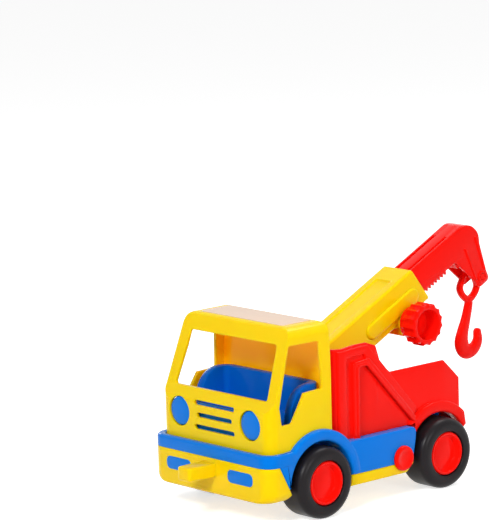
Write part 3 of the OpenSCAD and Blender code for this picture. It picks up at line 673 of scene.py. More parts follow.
@dataclass
class Sleeve:
    """The boom's yellow sleeve, in the boom's frame: a box with a channel inside and a sunk strip on top."""

    half_w: float = 19.5
    half_h: float = 19.25
    edge: float = 2.4
    mouth: float = -135.0
    rake: float = 7.5
    channel_half: float = 12.8
    channel_low: float = -16.35
    channel_high: float = 14.55
    channel_end: float = -14.0
    strip_half: float = 10.4
    strip_depth: float = 1.3
    strip_ends: Point = (-114.2, -11.8)
    winder: Point = WINDER_AXIS

    def section(self) -> Array:
        """The closed outline of the sleeve across its length, with extra points along the strip.

        Returns:
            The outline, as points (y, z).
        """
        w, h, r = self.half_w, self.half_h, self.edge
        across = np.concatenate([np.linspace(w - r - 0.4, 10.6, 6), [10.2, 9.8, 9.4], np.linspace(8, 0, 5)])
        top = np.concatenate([across, -across[-2::-1]])
        outline = rounded([(w, -h), (w, h), (-w, h), (-w, -h)], r)
        middle = len(outline) // 2
        return np.concatenate([outline[:middle], np.stack([top, np.full(len(top), h)], 1), outline[middle:]])

    def shell(self) -> Patchwork:
        """The outside, the mouth and the channel for the jib, as one closed surface.

        Row s has the section at x. On the round end the section's height shrinks with cos(turn), and
        x grows with sin(turn). The strip lowers z by its depth times two smooth steps, one across
        |y| and one along x. The mouth leans back by the rake as z falls.

        Returns:
            The shell's patches.
        """
        y, z = self.section().T
        h = self.half_h
        turns = np.linspace(math.pi / 2 - 0.02, 0, 14)
        xs = np.concatenate([h * np.sin(turns), np.linspace(-4, -10, 3), [-12, -12.8, -13.6],
                             np.linspace(-20, -100, 9), [-112, -113, -114, -118, -124, -129, -133, -134.2]])
        scale = np.concatenate([np.cos(turns), np.ones(len(xs) - len(turns))])
        start, stop = self.strip_ends
        along = smooth_step((stop - xs) / 2.0) * smooth_step((xs - start) / 2.0)
        across = smooth_step((self.strip_half - np.abs(y)) / 1.2) * (z > h - 0.01)
        height = z[None] * scale[:, None] - self.strip_depth * along[:, None] * across[None]
        lean = np.clip((xs - self.mouth) / -40.0 + 1.0, 0, 1)[:, None]
        depth = xs[:, None] - self.rake * lean * (h - z[None]) / (2 * h)
        outer = np.stack([depth, np.broadcast_to(y, depth.shape), height], -1)
        rim = outer[-1:].copy()
        rim[..., 0] = self.mouth - self.rake * (h - z) / (2 * h)
        rim[..., 1] *= 1 - 0.5 / self.half_w
        rim[..., 2] *= 1 - 0.5 / h
        inner_y = np.clip(y, -self.channel_half, self.channel_half)
        inner_z = np.clip(z, self.channel_low, self.channel_high)
        mouth_x = self.mouth - self.rake * (h - inner_z) / (2 * h)
        inside = [np.stack([x, inner_y, inner_z], -1)
                  for x in (mouth_x, mouth_x + 1.0, np.full_like(inner_y, self.channel_end))]
        shell = Patchwork()
        shell.grid(np.concatenate([outer, rim, np.array(inside)]))
        return shell

    def build(self) -> None:
        """Makes the sleeve, its pads and the housing of the winding gear."""
        wx, wz = self.winder
        pad = rounded([(-131, 4.25), (-131, -11.25), (-55.3, -11.25), (-55.3, 4.25)], 7.7, 10)
        housing = rounded([(wx - 12.4, -17.0, 0.0), (wx - 12.4, wz - 12.4), (wx + 12.4, wz - 12.4),
                           (wx + 12.4, -22.0, 0.0), (wx + 23.5, -17.0, 0.0)], 9.0, 8)
        boss = [(0.0, 15.0), (12.3, 15.0), (12.3, 22.9), (11.7, 23.5), (4.1, 23.5), (4.1, 15.0)]
        parts = [self.shell()]
        for side in Side:
            parts.append(side_plate(pad, 18.0, 22.0, (0.0, 1.6)).on(side))
            parts.append(turned(boss, self.winder, 48).on(side))
        parts.append(side_plate(housing, -19.2, 19.2, 1.6))
        fit_out(gather(parts).moved(boom_frame).build("boom_sleeve_look"), Body.BOOM, YELLOW, "boom_sleeve")


@dataclass
class Jib:
    """The red jib: a toothed arm, an elbow and two cheeks that hold the hook's pin."""

    half_w: float = 12.5
    fork_half: float = 9.5
    groove_half: float = 6.2
    top: float = 14.25
    foot: float = -13.15
    tail: float = -47.0
    elbow: float = -219.0
    pin: Point = (-219.3, -46.25)
    tooth_h: float = 2.9
    pitch: float = 1.5 * math.pi
    mesh_x: float = WINDER_AXIS[0]
    teeth: tuple[int, int] = (-7, 16)

    def outline(self, top_cut: float = 0.0, fork: bool = False) -> Array:
        """The jib's side outline in the boom's frame.

        Args:
            top_cut: How far the arm's top lies below its full height, for the grooves.
            fork: Whether the fork between the cheeks is cut away.

        Returns:
            The closed outline.
        """
        e, t, f = self.elbow, self.top, self.foot
        px, pz = self.pin
        crown = [(e + 22, t - top_cut, 0.0), (e + 20.4, t, 0.0)] if top_cut else []
        ridge = [(self.tail, t - top_cut, 1.2)] + crown
        ridge += [(e - 1, t, 14.0), (e - 11.7, t - 7.2, 14.0), (e - 16.8, t - 18.5, 14.0)]
        if fork:
            nose = [(e - 13.5, t - 27.5, 1.0), (e - 3, f - 17.5, 1.0), (e + 2, f - 9, 1.0),
                    (e + 22.5, f - 9, 1.0)]
        else:
            nose = [(e - 12.9, t - 29.5, 8.0), (px - 8.3, pz + 2, 3.0), (px - 8.3, pz - 8.4, 8.2),
                    (px + 8.6, pz - 8.4, 8.2), (px + 9.5, pz - 0.5, 3.0)]
        return rounded(ridge + nose + [(e + 24.2, f, 4.0), (self.tail, f, 1.2)], 1.0)

    def rack(self) -> Array:
        """The comb of the rack: each tooth narrows from 0.66 to 0.2 of the pitch.

        Returns:
            The comb's closed outline.
        """
        centres = self.mesh_x - self.pitch * np.arange(*self.teeth)
        share = np.array([0.33, 0.1, -0.1, -0.33]) * self.pitch
        drop = np.array([0.0, -self.tooth_h, -self.tooth_h, 0.0]) + self.foot
        xs = (centres[:, None] + share[None]).reshape(-1)
        zs = np.broadcast_to(drop, (len(centres), 4)).reshape(-1)
        comb = np.stack([xs, zs], 1)
        lid = np.array([[xs[-1], self.foot + 2], [xs[0], self.foot + 2]])
        return np.concatenate([comb, lid])

    @staticmethod
    def rib(top: Point, foot: Point) -> Patchwork:
        """A thin rib on a cheek, 2.4 mm wide.

        Args:
            top: The X and Z of its upper end.
            foot: The X and Z of its lower end.

        Returns:
            The left cheek's rib.
        """
        x0, z0, x1, z1 = *top, *foot
        outline = rounded([(x0 - 1.2, z0), (x0 + 1.2, z0), (x1 + 1.2, z1), (x1 - 1.2, z1)], 1.15)
        return side_plate(outline, 12.0, 13.8, (0.0, 0.5))

    def build(self) -> None:
        """Makes the jib from side plates: cheeks, body and grooves, with its teeth, ribs and bosses."""
        cheek, solid = self.outline(), self.outline(fork=True)
        sunk = self.outline(3.0, True)
        px, pz = self.pin
        ring = [(3.2, 12.0), (3.2, 13.2), (3.8, 13.8), (5.4, 13.8), (6.2, 13.3), (6.4, 12.0)]
        half = [side_plate(cheek, self.fork_half, self.half_w, (0.0, 1.3)),
                side_plate(sunk, self.groove_half, self.fork_half, 0.0),
                self.rib((self.elbow + 7.3, -8.0), (px + 8.6, pz + 2.5)),
                self.rib((self.elbow - 10.2, -5.0), (px - 6.0, pz + 4.5)),
                turned(ring, self.pin, 40)]
        parts = [gather(half).mirrored(), side_plate(solid, -self.groove_half, self.groove_half, 0.5),
                 side_plate(self.rack(), -self.half_w + 0.2, self.half_w - 0.2, 0.25)]
        fit_out(gather(parts).moved(boom_frame).build("jib_look"), Body.JIB, RED, "jib")


@dataclass
class Winder:
    """A fluted knob on each end of the winding shaft."""

    centre: Point = WINDER_AXIS
    knob_r: float = 21.0
    collar_r: float = 16.6
    inner_y: float = 26.0
    outer_y: float = 47.5
    cup_r: float = 14.6
    web: float = 5.0
    flutes: int = 15
    flute_depth: float = 1.7

    def knob(self) -> Patchwork:
        """The knob: a cup with a fluted rim, a collar towards the sleeve and a flat bottom.

        Returns:
            The left knob's patches.
        """
        y0, y1, r, c = self.inner_y, self.outer_y, self.knob_r, self.cup_r
        floor = y0 + self.web
        collar = [(4.1, y0 - 2.2), (14.4, y0 - 2.2), (15.6, y0 - 1.6), (16.2, y0 - 0.4),
                  (self.collar_r, y0 + 4.0), (18.6, y0 + 4.4), (20.0, y0 + 5.0), (20.8, y0 + 6.0)]
        rim = [(r, y0 + 7.4), (r, y0 + 11), (r, y1 - 2.2), (20.8, y1 - 1.2), (20.2, y1 - 0.4), (19.4, y1),
               (c + 1.2, y1), (c + 0.4, y1 - 0.3), (c, y1 - 1.1)]
        cup = [(c - 0.2, y0 + 12), (c - 0.4, floor + 2.0), (c - 1.0, floor + 0.6), (c - 2.2, floor),
               (4.2, floor), (3.9, floor - 0.3), (0.0, floor - 0.3)]
        return turned(collar + rim + cup, self.centre, 240, self.flutes, self.flute_depth, self.collar_r)

    def build(self) -> None:
        """Makes both knobs."""
        for side in Side:
            shape = self.knob().on(side).moved(boom_frame)
            fit_out(shape.build(f"knob_{side.word}_look"), Body.WINDER, RED, f"knob_{side.word}")


@dataclass
class TowHook:
    """The hook: a tapering bar bent into a bowl, below a loop that hangs on the pin."""

    pin_x: float = -184.48
    pin_z: float = 179.17
    middle_y: float = -5.8
    half_t: float = 3.5
    squareness: float = 0.8

    def bar(self, knots: list[tuple[float, float, float]], closed: bool) -> Patchwork:
        """A bar along a path in the hook's plane, with a rounded-square section of the knots' half widths.

        The section's point at angle a is (w |cos a|^p, t |sin a|^p) with their signs, along the path's
        normal and along Y. An open bar's first and last rows shrink on a quarter circle.

        Args:
            knots: The path's knots as (forward, up, half width).
            closed: Whether the bar closes on itself.

        Returns:
            The bar's patches.
        """
        path = smooth_path(np.array(knots, float), closed)
        u, v, w = path.T
        ahead = np.roll(path[:, :2], -1, 0) - np.roll(path[:, :2], 1, 0)
        if not closed:
            ahead[0], ahead[-1] = path[1, :2] - path[0, :2], path[-1, :2] - path[-2, :2]
        ahead /= np.linalg.norm(ahead, axis=1, keepdims=True)
        normal = np.stack([-ahead[:, 1], ahead[:, 0]], 1)
        angle = np.linspace(0, 2 * math.pi, 32, endpoint=False)
        side, deep = (np.sign(c) * np.abs(c) ** self.squareness for c in (np.cos(angle), np.sin(angle)))
        thick = np.full(len(path), self.half_t)
        if not closed:
            lengths = np.linalg.norm(np.diff(path[:, :2], axis=0), axis=1)
            gone = np.concatenate([[0.0], np.cumsum(lengths)])
            left = np.clip((gone[-1] - gone) / w[-1], 0, 1)
            shrink = np.sqrt(np.clip(1 - (1 - left) ** 2, 0.002, 1))
            w, thick = w * shrink, thick * np.sqrt(shrink)
        across = side[None] * w[:, None]
        rows = np.stack([self.pin_x + u[:, None] + normal[:, :1] * across,
                         self.middle_y + deep[None] * thick[:, None],
                         self.pin_z + v[:, None] + normal[:, 1:] * across], -1)
        bar = Patchwork()
        bar.grid(rows, round_rows=closed)
        return bar

    def build(self) -> None:
        """Makes the hook."""
        right = [(5.0, 2.8, 2.3), (9.0, -4.6, 2.8), (12.0, -12.6, 3.2), (8.0, -20.2, 3.2)]
        loop = [(1.4, 5.6, 2.3)] + [(u + 1.4, v, w) for u, v, w in right] + [(1.4, -25.0, 3.6)]
        loop += [(1.4 - u, v, w) for u, v, w in right[::-1]]
        shank = [(1.4, -22.5, 3.9), (1.6, -30.0, 4.6), (6.0, -45.0, 5.6), (10.6, -57.4, 7.2),
                 (12.4, -67.0, 8.8), (9.3, -74.6, 8.4), (2.4, -77.6, 7.4), (-5.6, -75.0, 6.8),
                 (-10.4, -68.2, 5.8), (-10.4, -60.6, 4.4), (-9.6, -55.6, 4.0)]
        piece = gather([self.bar(loop, True), self.bar(shank, False)]).build("tow_hook_look")
        fit_out(piece, Body.HOOK, RED, "hook")


@dataclass
class Seat:
    """The blue bench: a wall bent round the back and both sides, and a cushion."""

    back_x: float = FRONT_AXLE_X - 17.2
    half_w: float = 67.0
    thick: float = 9.0
    soft: float = 2.2
    top: float = 125.0
    arm_z: float = 95.0
    crest: float = 16.2
    front_x: float = FRONT_AXLE_X + 25.0
    corner: float = 14.0

    def wall(self) -> Patchwork:
        """The wall along a U-shaped plan.

        Row s stands at a point of the plan; its top is full height along the back and falls towards
        the front as 95 + 30 sqrt(1 - u^2), where u runs from 0 at the backrest to 1 at the front.

        Returns:
            The wall's patches.
        """
        b, w, f, c = self.back_x, self.half_w, self.front_x, self.corner
        straight = np.stack([np.linspace(f, b + c + 1, 14), np.full(14, w)], 1)
        left = np.concatenate([straight, arc((b + c, w - c), c, 90, 180, 10)])
        outer = np.concatenate([left, left[::-1] * MIRROR])
        ahead = np.gradient(outer, axis=0)
        ahead /= np.linalg.norm(ahead, axis=1, keepdims=True)
        inward = np.stack([-ahead[:, 1], ahead[:, 0]], 1)
        u = np.clip((outer[:, 0] - (b + self.crest)) / (f - b - self.crest), 0, 1)
        top = self.arm_z + (self.top - self.arm_z) * np.sqrt(1 - u ** 2)
        t, r = self.thick, self.soft
        ring = [(0.0, None), (0.0, r), (0.25 * r, 0.3 * r), (r, 0.0), (t - r, 0.0), (t - 0.25 * r, 0.3 * r),
                (t, r), (t, None)]
        rows = []
        for across, below in ring:
            flat = outer + inward * across
            z = np.full(len(outer), DECK_Z) if below is None else top - below
            rows.append(np.column_stack([flat, z]))
        wall = Patchwork()
        wall.grid(np.array(rows).transpose(1, 0, 2))
        return wall

    def build(self) -> None:
        """Makes the bench."""
        b = self.back_x
        cushion = rounded([(b + 6, 69.0), (b + 50, 69.0), (b + 50, 82.0), (b + 10, 92.0), (b + 6, 92.0)], 3.0)
        parts = [self.wall(), side_plate(cushion, -self.half_w + 4, self.half_w - 4, 1.5)]
        fit_out(gather(parts).build("seat_look"), Body.TRUCK, SEAT_BLUE_PAINTED_SHADE, "seat")


@dataclass
class Shell:
    """Measures that the body's mouldings share, from the front axle."""

    half: float = 82.0
    spine: float = 48.0
    arch: float = 38.5
    flange: float = 49.5
    front: float = 68.0
    corner: float = 14.0
    band: tuple[float, float] = (57.0, 69.0)
    panel_rear: float = -124.0
    ground: float = 23.0

    def placed(self, shape: Patchwork) -> Patchwork:
        """The shape moved from the front axle to its place in the frame."""
        return shape.moved(lambda p: p + np.array([FRONT_AXLE_X, 0.0, 0.0]))


@dataclass
class Chassis(Shell):
    """The blue chassis: a lipped band round the nose, flanged front fenders, side panels and the deck."""

    lip_soft: float = 3.0

    def nose_band(self) -> Patchwork:
        """The band's wall, along a U in plan from one fender round the front to the other.

        Returns:
            The wall's patches.
        """
        h, f, low, high = self.half, self.front, *self.band
        outer = self.nose_line(h, f, self.corner)
        inner = self.nose_line(h - 5.6, f - 7.9, self.corner - 2.4)
        return standing_wall(outer, inner, low, high, self.lip_soft, soft_foot=0.8)

    @staticmethod
    def nose_line(half: float, front: float, corner: float) -> Array:
        """A U in plan: both sides from x = 36 forward, joined across the front by quarter circles.

        Args:
            half: The half width.
            front: The X of the front.
            corner: The radius of the corners.

        Returns:
            The line, from the left fender to the right one.
        """
        left = chain((36.0, half), (44.0, half), arc((front - corner, half - corner), corner, 90, 0, 12))
        return np.concatenate([left, left[::-1] * MIRROR])

    def fender(self) -> Patchwork:
        """One fender: the flange over the wheel, with the leg in front of it.

        Returns:
            The left fender's patches.
        """
        rim = arc((0, AXLE_Z), self.flange, 34, 180.5, 40)[3:]
        hollow = arc((0, AXLE_Z), self.arch, 180.5, 0, 48)
        tip = rounded([hollow[-1], (41.6, 34.0), (53.4, 56.9), (53.4, 68.6), (44.5, 68.6, 11.0), rim[0]],
                      steps=8)
        outline = chain(tip[:-1], rim, hollow[:-1])
        return side_plate(outline, self.spine + 6, self.half - 0.1, (0.0, self.lip_soft))

    def panel(self) -> Patchwork:
        """One side panel behind the front wheel.

        Returns:
            The left panel's patches.
        """
        r = self.panel_rear
        outline = rounded([(-36.0, DECK_Z), (-42.0, 33.5), (r + 5.2, 33.5), (r + 3.6, 42.0), (r + 1.2, 54.0),
                           (r, DECK_Z, 6.5)], steps=8)
        return side_plate(outline, self.spine + 2, self.half - 0.6, (0.0, 1.6))

    def build(self) -> None:
        """Makes the chassis."""
        r, inner, half = self.panel_rear, self.spine - 1, self.half
        well = chain(arc((0, AXLE_Z), 41.0, 0, 180, 32), arc((0, AXLE_Z), self.arch, 180, 0, 32))
        sides = [self.fender(), self.panel(), side_plate(well, inner, half - 4.5, 0.0),
                 block(39.5, 60, 57, DECK_Z, inner, half - 4),
                 block(r + 8, -39.5, 57, DECK_Z - 0.5, inner, half - 3)]
        parts = [gather(sides).mirrored(), self.nose_band(),
                 block(r, 60, 44, DECK_Z, -self.spine, self.spine),
                 block(-187, r - 0.5, 44, 74, -self.spine, self.spine)]
        fit_out(self.placed(gather(parts)).build("chassis_look"), Body.TRUCK, BLUE, "chassis")


@dataclass
class FloorPan(Shell):
    """The yellow floor pan: the bumper with its lamps, the tow tongue, the skirts and the middle."""

    lamp_y: float = 43.0
    lamp_z: float = 44.0

    def bumper(self) -> Patchwork:
        """The bumper as a stack of plan outlines, one per height.

        At height z the rear edge follows the cut in front of the wheel, and the half width shrinks by
        9 - sqrt(81 - (32 - z)^2) below z = 32. The first and last rows stand in by a quarter circle.

        Returns:
            The bumper's patches.
        """
        cut_z, cut_x = (23.0, 29.0, 34.0, 57.0), (46.0, 39.0, 41.5, 53.5)
        low, high, r = self.ground, self.band[0], 2.2
        turns = np.linspace(0, math.pi / 2, 5)
        levels = [(low + r * (1 - math.sin(t)), r * (1 - math.cos(t))) for t in turns[::-1]]
        levels += [(z, 0.0) for z in (26.5, 28, 29, 30.5, 32, 34, 40, 50)]
        levels += [(high - 0.6 * (1 - math.sin(t)), 0.6 * (1 - math.cos(t))) for t in turns]
        rows = []
        for z, cut in levels:
            drop = max(0.0, 32.0 - z)
            half = self.half - cut - (9 - math.sqrt(81 - drop ** 2))
            rear, front, c = float(np.interp(z, cut_z, cut_x)) + cut, self.front - cut, self.corner - cut
            left = chain((rear, half), arc((front - c, half - c), c, 90, 0, 14))
            flat = np.concatenate([left, left[::-1] * MIRROR])
            rows.append(np.column_stack([flat, np.full(len(flat), z)]))
        body = Patchwork()
        body.grid(np.array(rows))
        return body

    def build(self) -> None:
        """Makes the floor pan and the bumper's lamps."""
        f = self.front
        tongue = rounded([(f - 3, -9.6, 0.0), (f + 32, -8.9), (f + 32, 8.9), (f - 3, 9.6, 0.0)], 3.4, 8)
        spine = rounded([(54, 44), (50, 27), (-182, 27), (-188, 44)], 1.0)
        skirt = rounded([(-38.3, 34.0), (-36.9, self.ground), (-110, self.ground, 6.0), (-119.6, 31, 3.0),
                         (-119.0, 34.0)])
        parts = [self.bumper(), side_plate(tongue, 40.0, 53.0, 1.8).moved(laid_flat),
                 side_plate(spine, -self.spine, self.spine, 0.8),
                 side_plate(skirt, self.spine - 1, self.half - 1.0, (0.0, 1.6)).mirrored()]
        fit_out(self.placed(gather(parts)).build("floor_pan_look"), Body.TRUCK, YELLOW, "floor_pan")
        face = rounded([(-17.4, -6.3), (17.4, -6.3), (17.4, 6.3), (-17.4, 6.3)], 5.0, 8)
        for side in Side:
            outline = face + np.array([self.lamp_y * side.value, self.lamp_z])
            lamp = side_plate(outline, f - 4.0, f + 0.5, (0.0, 0.9))
            piece = self.placed(lamp.moved(faced_forward)).build(f"bumper_lamp_{side.word}_look")
            fit_out(piece, Body.TRUCK, BLUE, f"bumper_lamp_{side.word}")


@dataclass
class LampPanel(Shell):
    """The blue panel behind the grille, with both headlamps."""

    lamp_y: float = 49.3
    lamp_z: float = 93.0
    lamp_r: float = 13.6
    face_x: float = 59.2

    def build(self) -> None:
        """Makes the panel and the slightly crowned lamps."""
        x, r = self.face_x, self.lamp_r
        glass = [(0.0, x), (5.0, x - 0.05), (10.0, x - 0.25), (r - 1.0, x - 0.55), (r - 0.3, x - 0.95),
                 (r, x - 1.7), (r, x - 5.0), (r + 1.6, x - 5.2), (r + 1.6, x - 6.6), (0.0, x - 6.6)]
        sheet = rounded([(-60, 66), (60, 66), (60, 103), (-60, 103)], 1.0)
        parts = [side_plate(sheet, 51.8, 54.8, 0.4).moved(faced_forward)]
        for side in Side:
            parts.append(turned(glass, (self.lamp_y * side.value, self.lamp_z), 72).moved(faced_forward))
        fit_out(self.placed(gather(parts)).build("lamp_panel_look"), Body.TRUCK, BLUE, "lamp_panel")


@dataclass
class Bed(Shell):
    """The red bed: walls round a rounded tower, raised side frames, rear fenders, tail and brackets."""

    wall_half: float = 71.8
    wall: float = 3.5
    rise: float = 4.8
    nose: float = -22.0
    tail: float = -191.0
    tower_corner: float = 9.0
    soft: float = 1.5
    pin: Point = (-69.3, 124.6)

    def walls(self) -> Patchwork:
        """The walls as one ring in plan.

        Along a side the top follows the tower, the slope and the low wall, and the foot rises over the
        rear wheel as 34 + sqrt(38.5^2 - (x + 158)^2). The front is as high as the tower, the tail low.

        Returns:
            The walls' patches.
        """
        top_x = (-191, -172, -171, -100, -98.5, -87.6, -86.4, -81.5, -80, -69, -53, -37, -22)
        top_z = (102, 120.4, 121, 121, 122.2, 132.2, 134, 149, 150, 154, 154, 152.6, 154)
        h, c, t = self.wall_half, self.tower_corner, self.wall
        xs = np.array([-190.9, -186, -180, -172, -171, -168, -165, -162, -158, -154, -150, -146, -142, -138,
                       -134, -130, -127, -124.4, -124.2, -118, -110, -101, -100, -98.5, -94, -87.6, -86.4,
                       -84, -81.5, -80, -75, -69, -61, -53, -45, -37, self.nose - c])
        outer_side = np.column_stack([xs, np.full(len(xs), h)])
        inner_side = np.column_stack([np.maximum(xs, self.tail + t), np.full(len(xs), h - t)])
        bends = [arc((self.nose - c, h - c), r, 90, 0, 10)[1:] for r in (c, c - t)]
        front, rear = self.nose, self.tail
        outer = chain((rear, 0.0), (rear, h - 1.5), outer_side, bends[0], (front, 0.0))
        inner = chain((rear + t, 0.0), (rear + t, h - t), inner_side, bends[1], (front - t, 0.0))
        x = outer[:, 0]
        top = np.interp(x, top_x, top_z)
        over = AXLE_Z + np.sqrt(np.maximum(self.arch ** 2 - (x + WHEELBASE) ** 2, 0.0))
        foot = np.where(x > -124.3, DECK_Z, np.maximum(over, 58.0))
        top[:2], foot[:3] = 92.0, DECK_Z
        lines = [np.concatenate([line, line[-2:0:-1] * MIRROR]) for line in (outer, inner)]
        heights = [np.concatenate([level, level[-2:0:-1]]) for level in (foot, top)]
        return standing_wall(*lines, *heights, self.soft, closed=True)

    def side(self) -> Patchwork:
        """One side's raised frame, the rear fender's flange, the floor and the bracket of the boom's pin.

        Returns:
            The left side's patches.
        """
        h, out, front = self.wall_half, self.wall_half + self.rise, self.nose - 3
        recess = [(-66.0, 133.2, 4.0), (-55.5, 133.2, 4.0), (-54.5, 64.0)]
        frame_line = rounded([(-48.0, 64.0), (-48.2, 138.2, 3.0), (-69.5, 139.8, 3.0), (-131.0, 72.5),
                              (-128.5, 70.0), (-124.6, 70.0)] + recess, steps=8)
        rim_line = rounded([(-51.2, 64.0), (-51.9, 136.4, 4.0), (-67.3, 136.4, 4.0), (-128.4, 70.3),
                            (-124.6, 70.0)] + recess, steps=8)
        post = rounded([(-40.5, 64.0), (-29.5, 64.0), (-29.5, 151.0), (-37.0, 150.6), (-53.0, 151.8),
                        (-69.0, 152.3), (-132.0, 82.0, 3.0), (-126.0, 72.0), (-66.0, 136.5),
                        (-64.0, 144.2, 2.0), (-41.2, 143.0, 3.0)], steps=8)
        rim = arc((-WHEELBASE, AXLE_Z), self.flange, 140, 41, 32)[1:]
        hollow = arc((-WHEELBASE, AXLE_Z), self.arch, 30, 152, 40)[1:]
        fender = chain((-196.2, 55.0), rim, (-124.4, DECK_Z), (-124.4, 56.0), hollow)
        px, pz = self.pin
        bracket = chain((px + 22, 76.0), arc((px, pz), 11.0, 12, 168, 20), (px - 22, 76.0))
        slab = chain((-189.5, 74.0), (-124.0, 74.0), (front, 77.0), (-189.5, 77.0))
        under = chain((-124.0, 74.0), (-124.0, 66.2), (front, 66.2), (front, 77.0))
        return gather([side_plate(frame_line, h - 1, out - 1.0, (0.0, 1.2)),
                       side_plate(rim_line, h - 1, out, (0.0, 0.8)),
                       side_plate(fender, h - 1.5, out, (0.0, 2.0)),
                       side_plate(post, h - 1, h + 2.6, (0.0, 1.4)),
                       side_plate(bracket, 20.0, 25.0, 0.8),
                       side_plate(slab, 0.0, h - 2, 0.0),
                       side_plate(under, 0.0, h - 2, 0.0)])

    def build(self) -> None:
        """Makes the bed."""
        t, across = self.tail, self.wall_half - 1
        lip = rounded([(t + 0.7, 73.0), (t - 0.1, 69.8), (t - 6, 56.0), (t - 6, 50.2), (t - 3.0, 50.2),
                       (t - 3.0, 55.0), (t + 3.2, 66.0), (t + 3.2, 73.0)])
        parts = [self.walls(), self.side().mirrored(), side_plate(lip, -across, across, 0.0)]
        fit_out(self.placed(gather(parts)).build("bed_look"), Body.TRUCK, RED, "bed")


@dataclass
class RoofLabel:
    """The plain film on the flat of the roof."""

    roof: float = 182.0
    rear: float = FRONT_AXLE_X - 13.5
    front: float = FRONT_AXLE_X + 23.0
    half: float = 57.0
    thick: float = 0.5

    def build(self) -> None:
        """Makes the film."""
        outline = rounded([(self.rear, -self.half), (self.front, -self.half), (self.front, self.half),
                           (self.rear, self.half)], 3.0)
        film = side_plate(outline, self.roof - 0.2, self.roof + self.thick, (0.0, 0.2)).moved(laid_flat)
        fit_out(film.build("roof_label_look"), Body.TRUCK, LABEL, "roof_label")


@dataclass
class Mouldings:
    """The CAD nodes whose shape is right, dressed in their finishes."""

    finishes: dict[str, MouldedPlastic] = field(default_factory=lambda: {
        "cab": CAB, "front_axle": STEEL, "rear_axle": STEEL, "boom_pin": STEEL, "hook_pin": RED,
        "winder_shaft": RED})

    def build(self) -> None:
        """Gives each node its finish."""
        for name, finish in self.finishes.items():
            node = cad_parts[name]
            node.data.materials.clear()
            node.data.materials.append(finish.material())
            log.info("%s: finish %s", name, finish.name)


# Studio


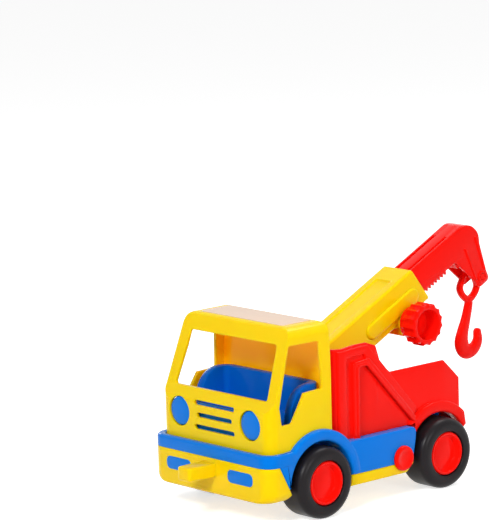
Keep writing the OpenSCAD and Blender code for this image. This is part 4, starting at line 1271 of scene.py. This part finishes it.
@dataclass
class Studio:
    """Camera at the photograph's angle, a pale floor and soft lamps."""

    eye: tuple[float, float, float] = (2034.0 + FRONT_AXLE_X, 2267.7, 732.6 + AXLE_Z)
    azimuth: float = math.radians(138.34)
    elevation: float = math.radians(9.91)
    roll: float = math.radians(-1.68)
    focal_px: float = 3313.1
    photo_w: float = 489.0
    surround: float = 0.3
    floor_half: float = 30.0
    aim: tuple[float, float, float] = (0.0, 0.0, 0.09)

    def camera(self) -> None:
        """Places the camera: its back vector from azimuth and elevation, then turned by the roll."""
        a, e, r = self.azimuth, self.elevation, self.roll
        back = Vector((math.sin(a) * math.cos(e), -math.cos(a) * math.cos(e), math.sin(e)))
        right = Vector((math.cos(a), math.sin(a), 0.0))
        up = back.cross(right)
        tilted = right * math.cos(r) + up * math.sin(r)
        upright = up * math.cos(r) - right * math.sin(r)
        lens = bpy.data.cameras.new("camera")
        lens.sensor_fit = "HORIZONTAL"
        lens.sensor_width = 36.0
        lens.lens = self.focal_px * lens.sensor_width / self.photo_w
        lens.clip_end = 50.0
        stand = bpy.data.objects.new("camera", lens)
        turn = Matrix((tilted, upright, back)).transposed().to_4x4()
        stand.matrix_world = Matrix.Translation(Vector(self.eye) * MM) @ turn
        bpy.context.scene.collection.objects.link(stand)
        bpy.context.scene.camera = stand

    @staticmethod
    def seen_rays(tree: bpy.types.NodeTree) -> bpy.types.NodeSocket:
        """Tells the rays that see the surround from those that only carry light.

        Args:
            tree: The floor's or the world's tree.

        Returns:
            One for rays from the camera, in gloss and through glass, and nought for all others.
        """
        path = add_node(tree, "LightPath")
        total = path.outputs["Is Camera Ray"]
        for kind in ("Is Glossy Ray", "Is Transmission Ray"):
            either = add_node(tree, "Math", None, {0: total, 1: path.outputs[kind]}, operation="MAXIMUM")
            total = either.outputs[0]
        return total

    def world(self) -> None:
        """A pale surround that lights the object softly and looks white to the camera and in gloss."""
        world = bpy.data.worlds.new("surround")
        bpy.context.scene.world = world
        world.use_nodes = True
        tree = world.node_tree
        tree.nodes.clear()
        seen = add_node(tree, "Background", {"Color": WHITE, "Strength": 1.0})
        lit = add_node(tree, "Background", {"Color": WHITE, "Strength": self.surround})
        mix = add_node(tree, "MixShader", None,
                       {0: self.seen_rays(tree), 1: lit.outputs[0], 2: seen.outputs[0]})
        add_node(tree, "OutputWorld", None, {"Surface": mix.outputs[0]})

    def floor(self) -> None:
        """A pale floor under the tyres, which keeps the shadow."""
        half = self.floor_half
        mesh = bpy.data.meshes.new("floor")
        corners = [(-half, -half, 0), (half, -half, 0), (half, half, 0), (-half, half, 0)]
        mesh.from_pydata(corners, [], [[0, 1, 2, 3]])
        floor = bpy.data.objects.new("floor", mesh)
        bpy.context.scene.collection.objects.link(floor)
        paint = bpy.data.materials.new("floor_paint")
        paint.use_nodes = True
        tree = paint.node_tree
        shader = tree.nodes["Principled BSDF"]
        shader.inputs["Base Color"].default_value = (0.8, 0.8, 0.8, 1.0)
        shader.inputs["Roughness"].default_value = 0.9
        shader.inputs["Specular IOR Level"].default_value = 0.0
        tree.links.new(self.seen_rays(tree), shader.inputs["Emission Strength"])
        shader.inputs["Emission Color"].default_value = (0.7, 0.7, 0.7, 1.0)
        mesh.materials.append(paint)

    def lamp(self, name: str, place: tuple[float, float, float], size: float, power: float) -> None:
        """A square soft lamp that looks at the truck's middle.

        Args:
            name: The lamp's name.
            place: Where it hangs, in metres.
            size: Its side, in metres.
            power: Its power, in watts.
        """
        light = bpy.data.lights.new(name, "AREA")
        light.size, light.energy = size, power
        stand = bpy.data.objects.new(name, light)
        aim = Vector(self.aim) - Vector(place)
        stand.matrix_world = Matrix.Translation(place) @ aim.to_track_quat("-Z", "Y").to_matrix().to_4x4()
        bpy.context.scene.collection.objects.link(stand)

    def build(self) -> None:
        """Sets up the whole studio."""
        bpy.context.scene.view_settings.view_transform = "Standard"
        self.camera()
        self.world()
        self.floor()
        self.lamp("key_lamp", (1.75, 0.8, 1.45), 0.5, 28.5)
        self.lamp("fill_lamp", (0.2, 2.0, 0.9), 0.8, 12.0)
        self.lamp("top_lamp", (-0.9, 0.1, 1.9), 0.8, 14.5)
        self.lamp("right_lamp", (-0.5, -2.1, 0.9), 0.8, 9.0)


def main() -> None:
    """Builds the studio and every sub-assembly in order."""
    Studio().build()
    Mouldings().build()
    Chassis().build()
    FloorPan().build()
    LampPanel().build()
    Bed().build()
    RoofLabel().build()
    Wheelset(Body.FRONT_WHEELS, FRONT_AXLE_X).build()
    Wheelset(Body.REAR_WHEELS, FRONT_AXLE_X - WHEELBASE).build()
    SideCap().build()
    Seat().build()
    Sleeve().build()
    Jib().build()
    Winder().build()
    TowHook().build()


if __name__ == "__main__":
    logging.basicConfig(level=logging.INFO, format="%(name)s: %(message)s")
    main()
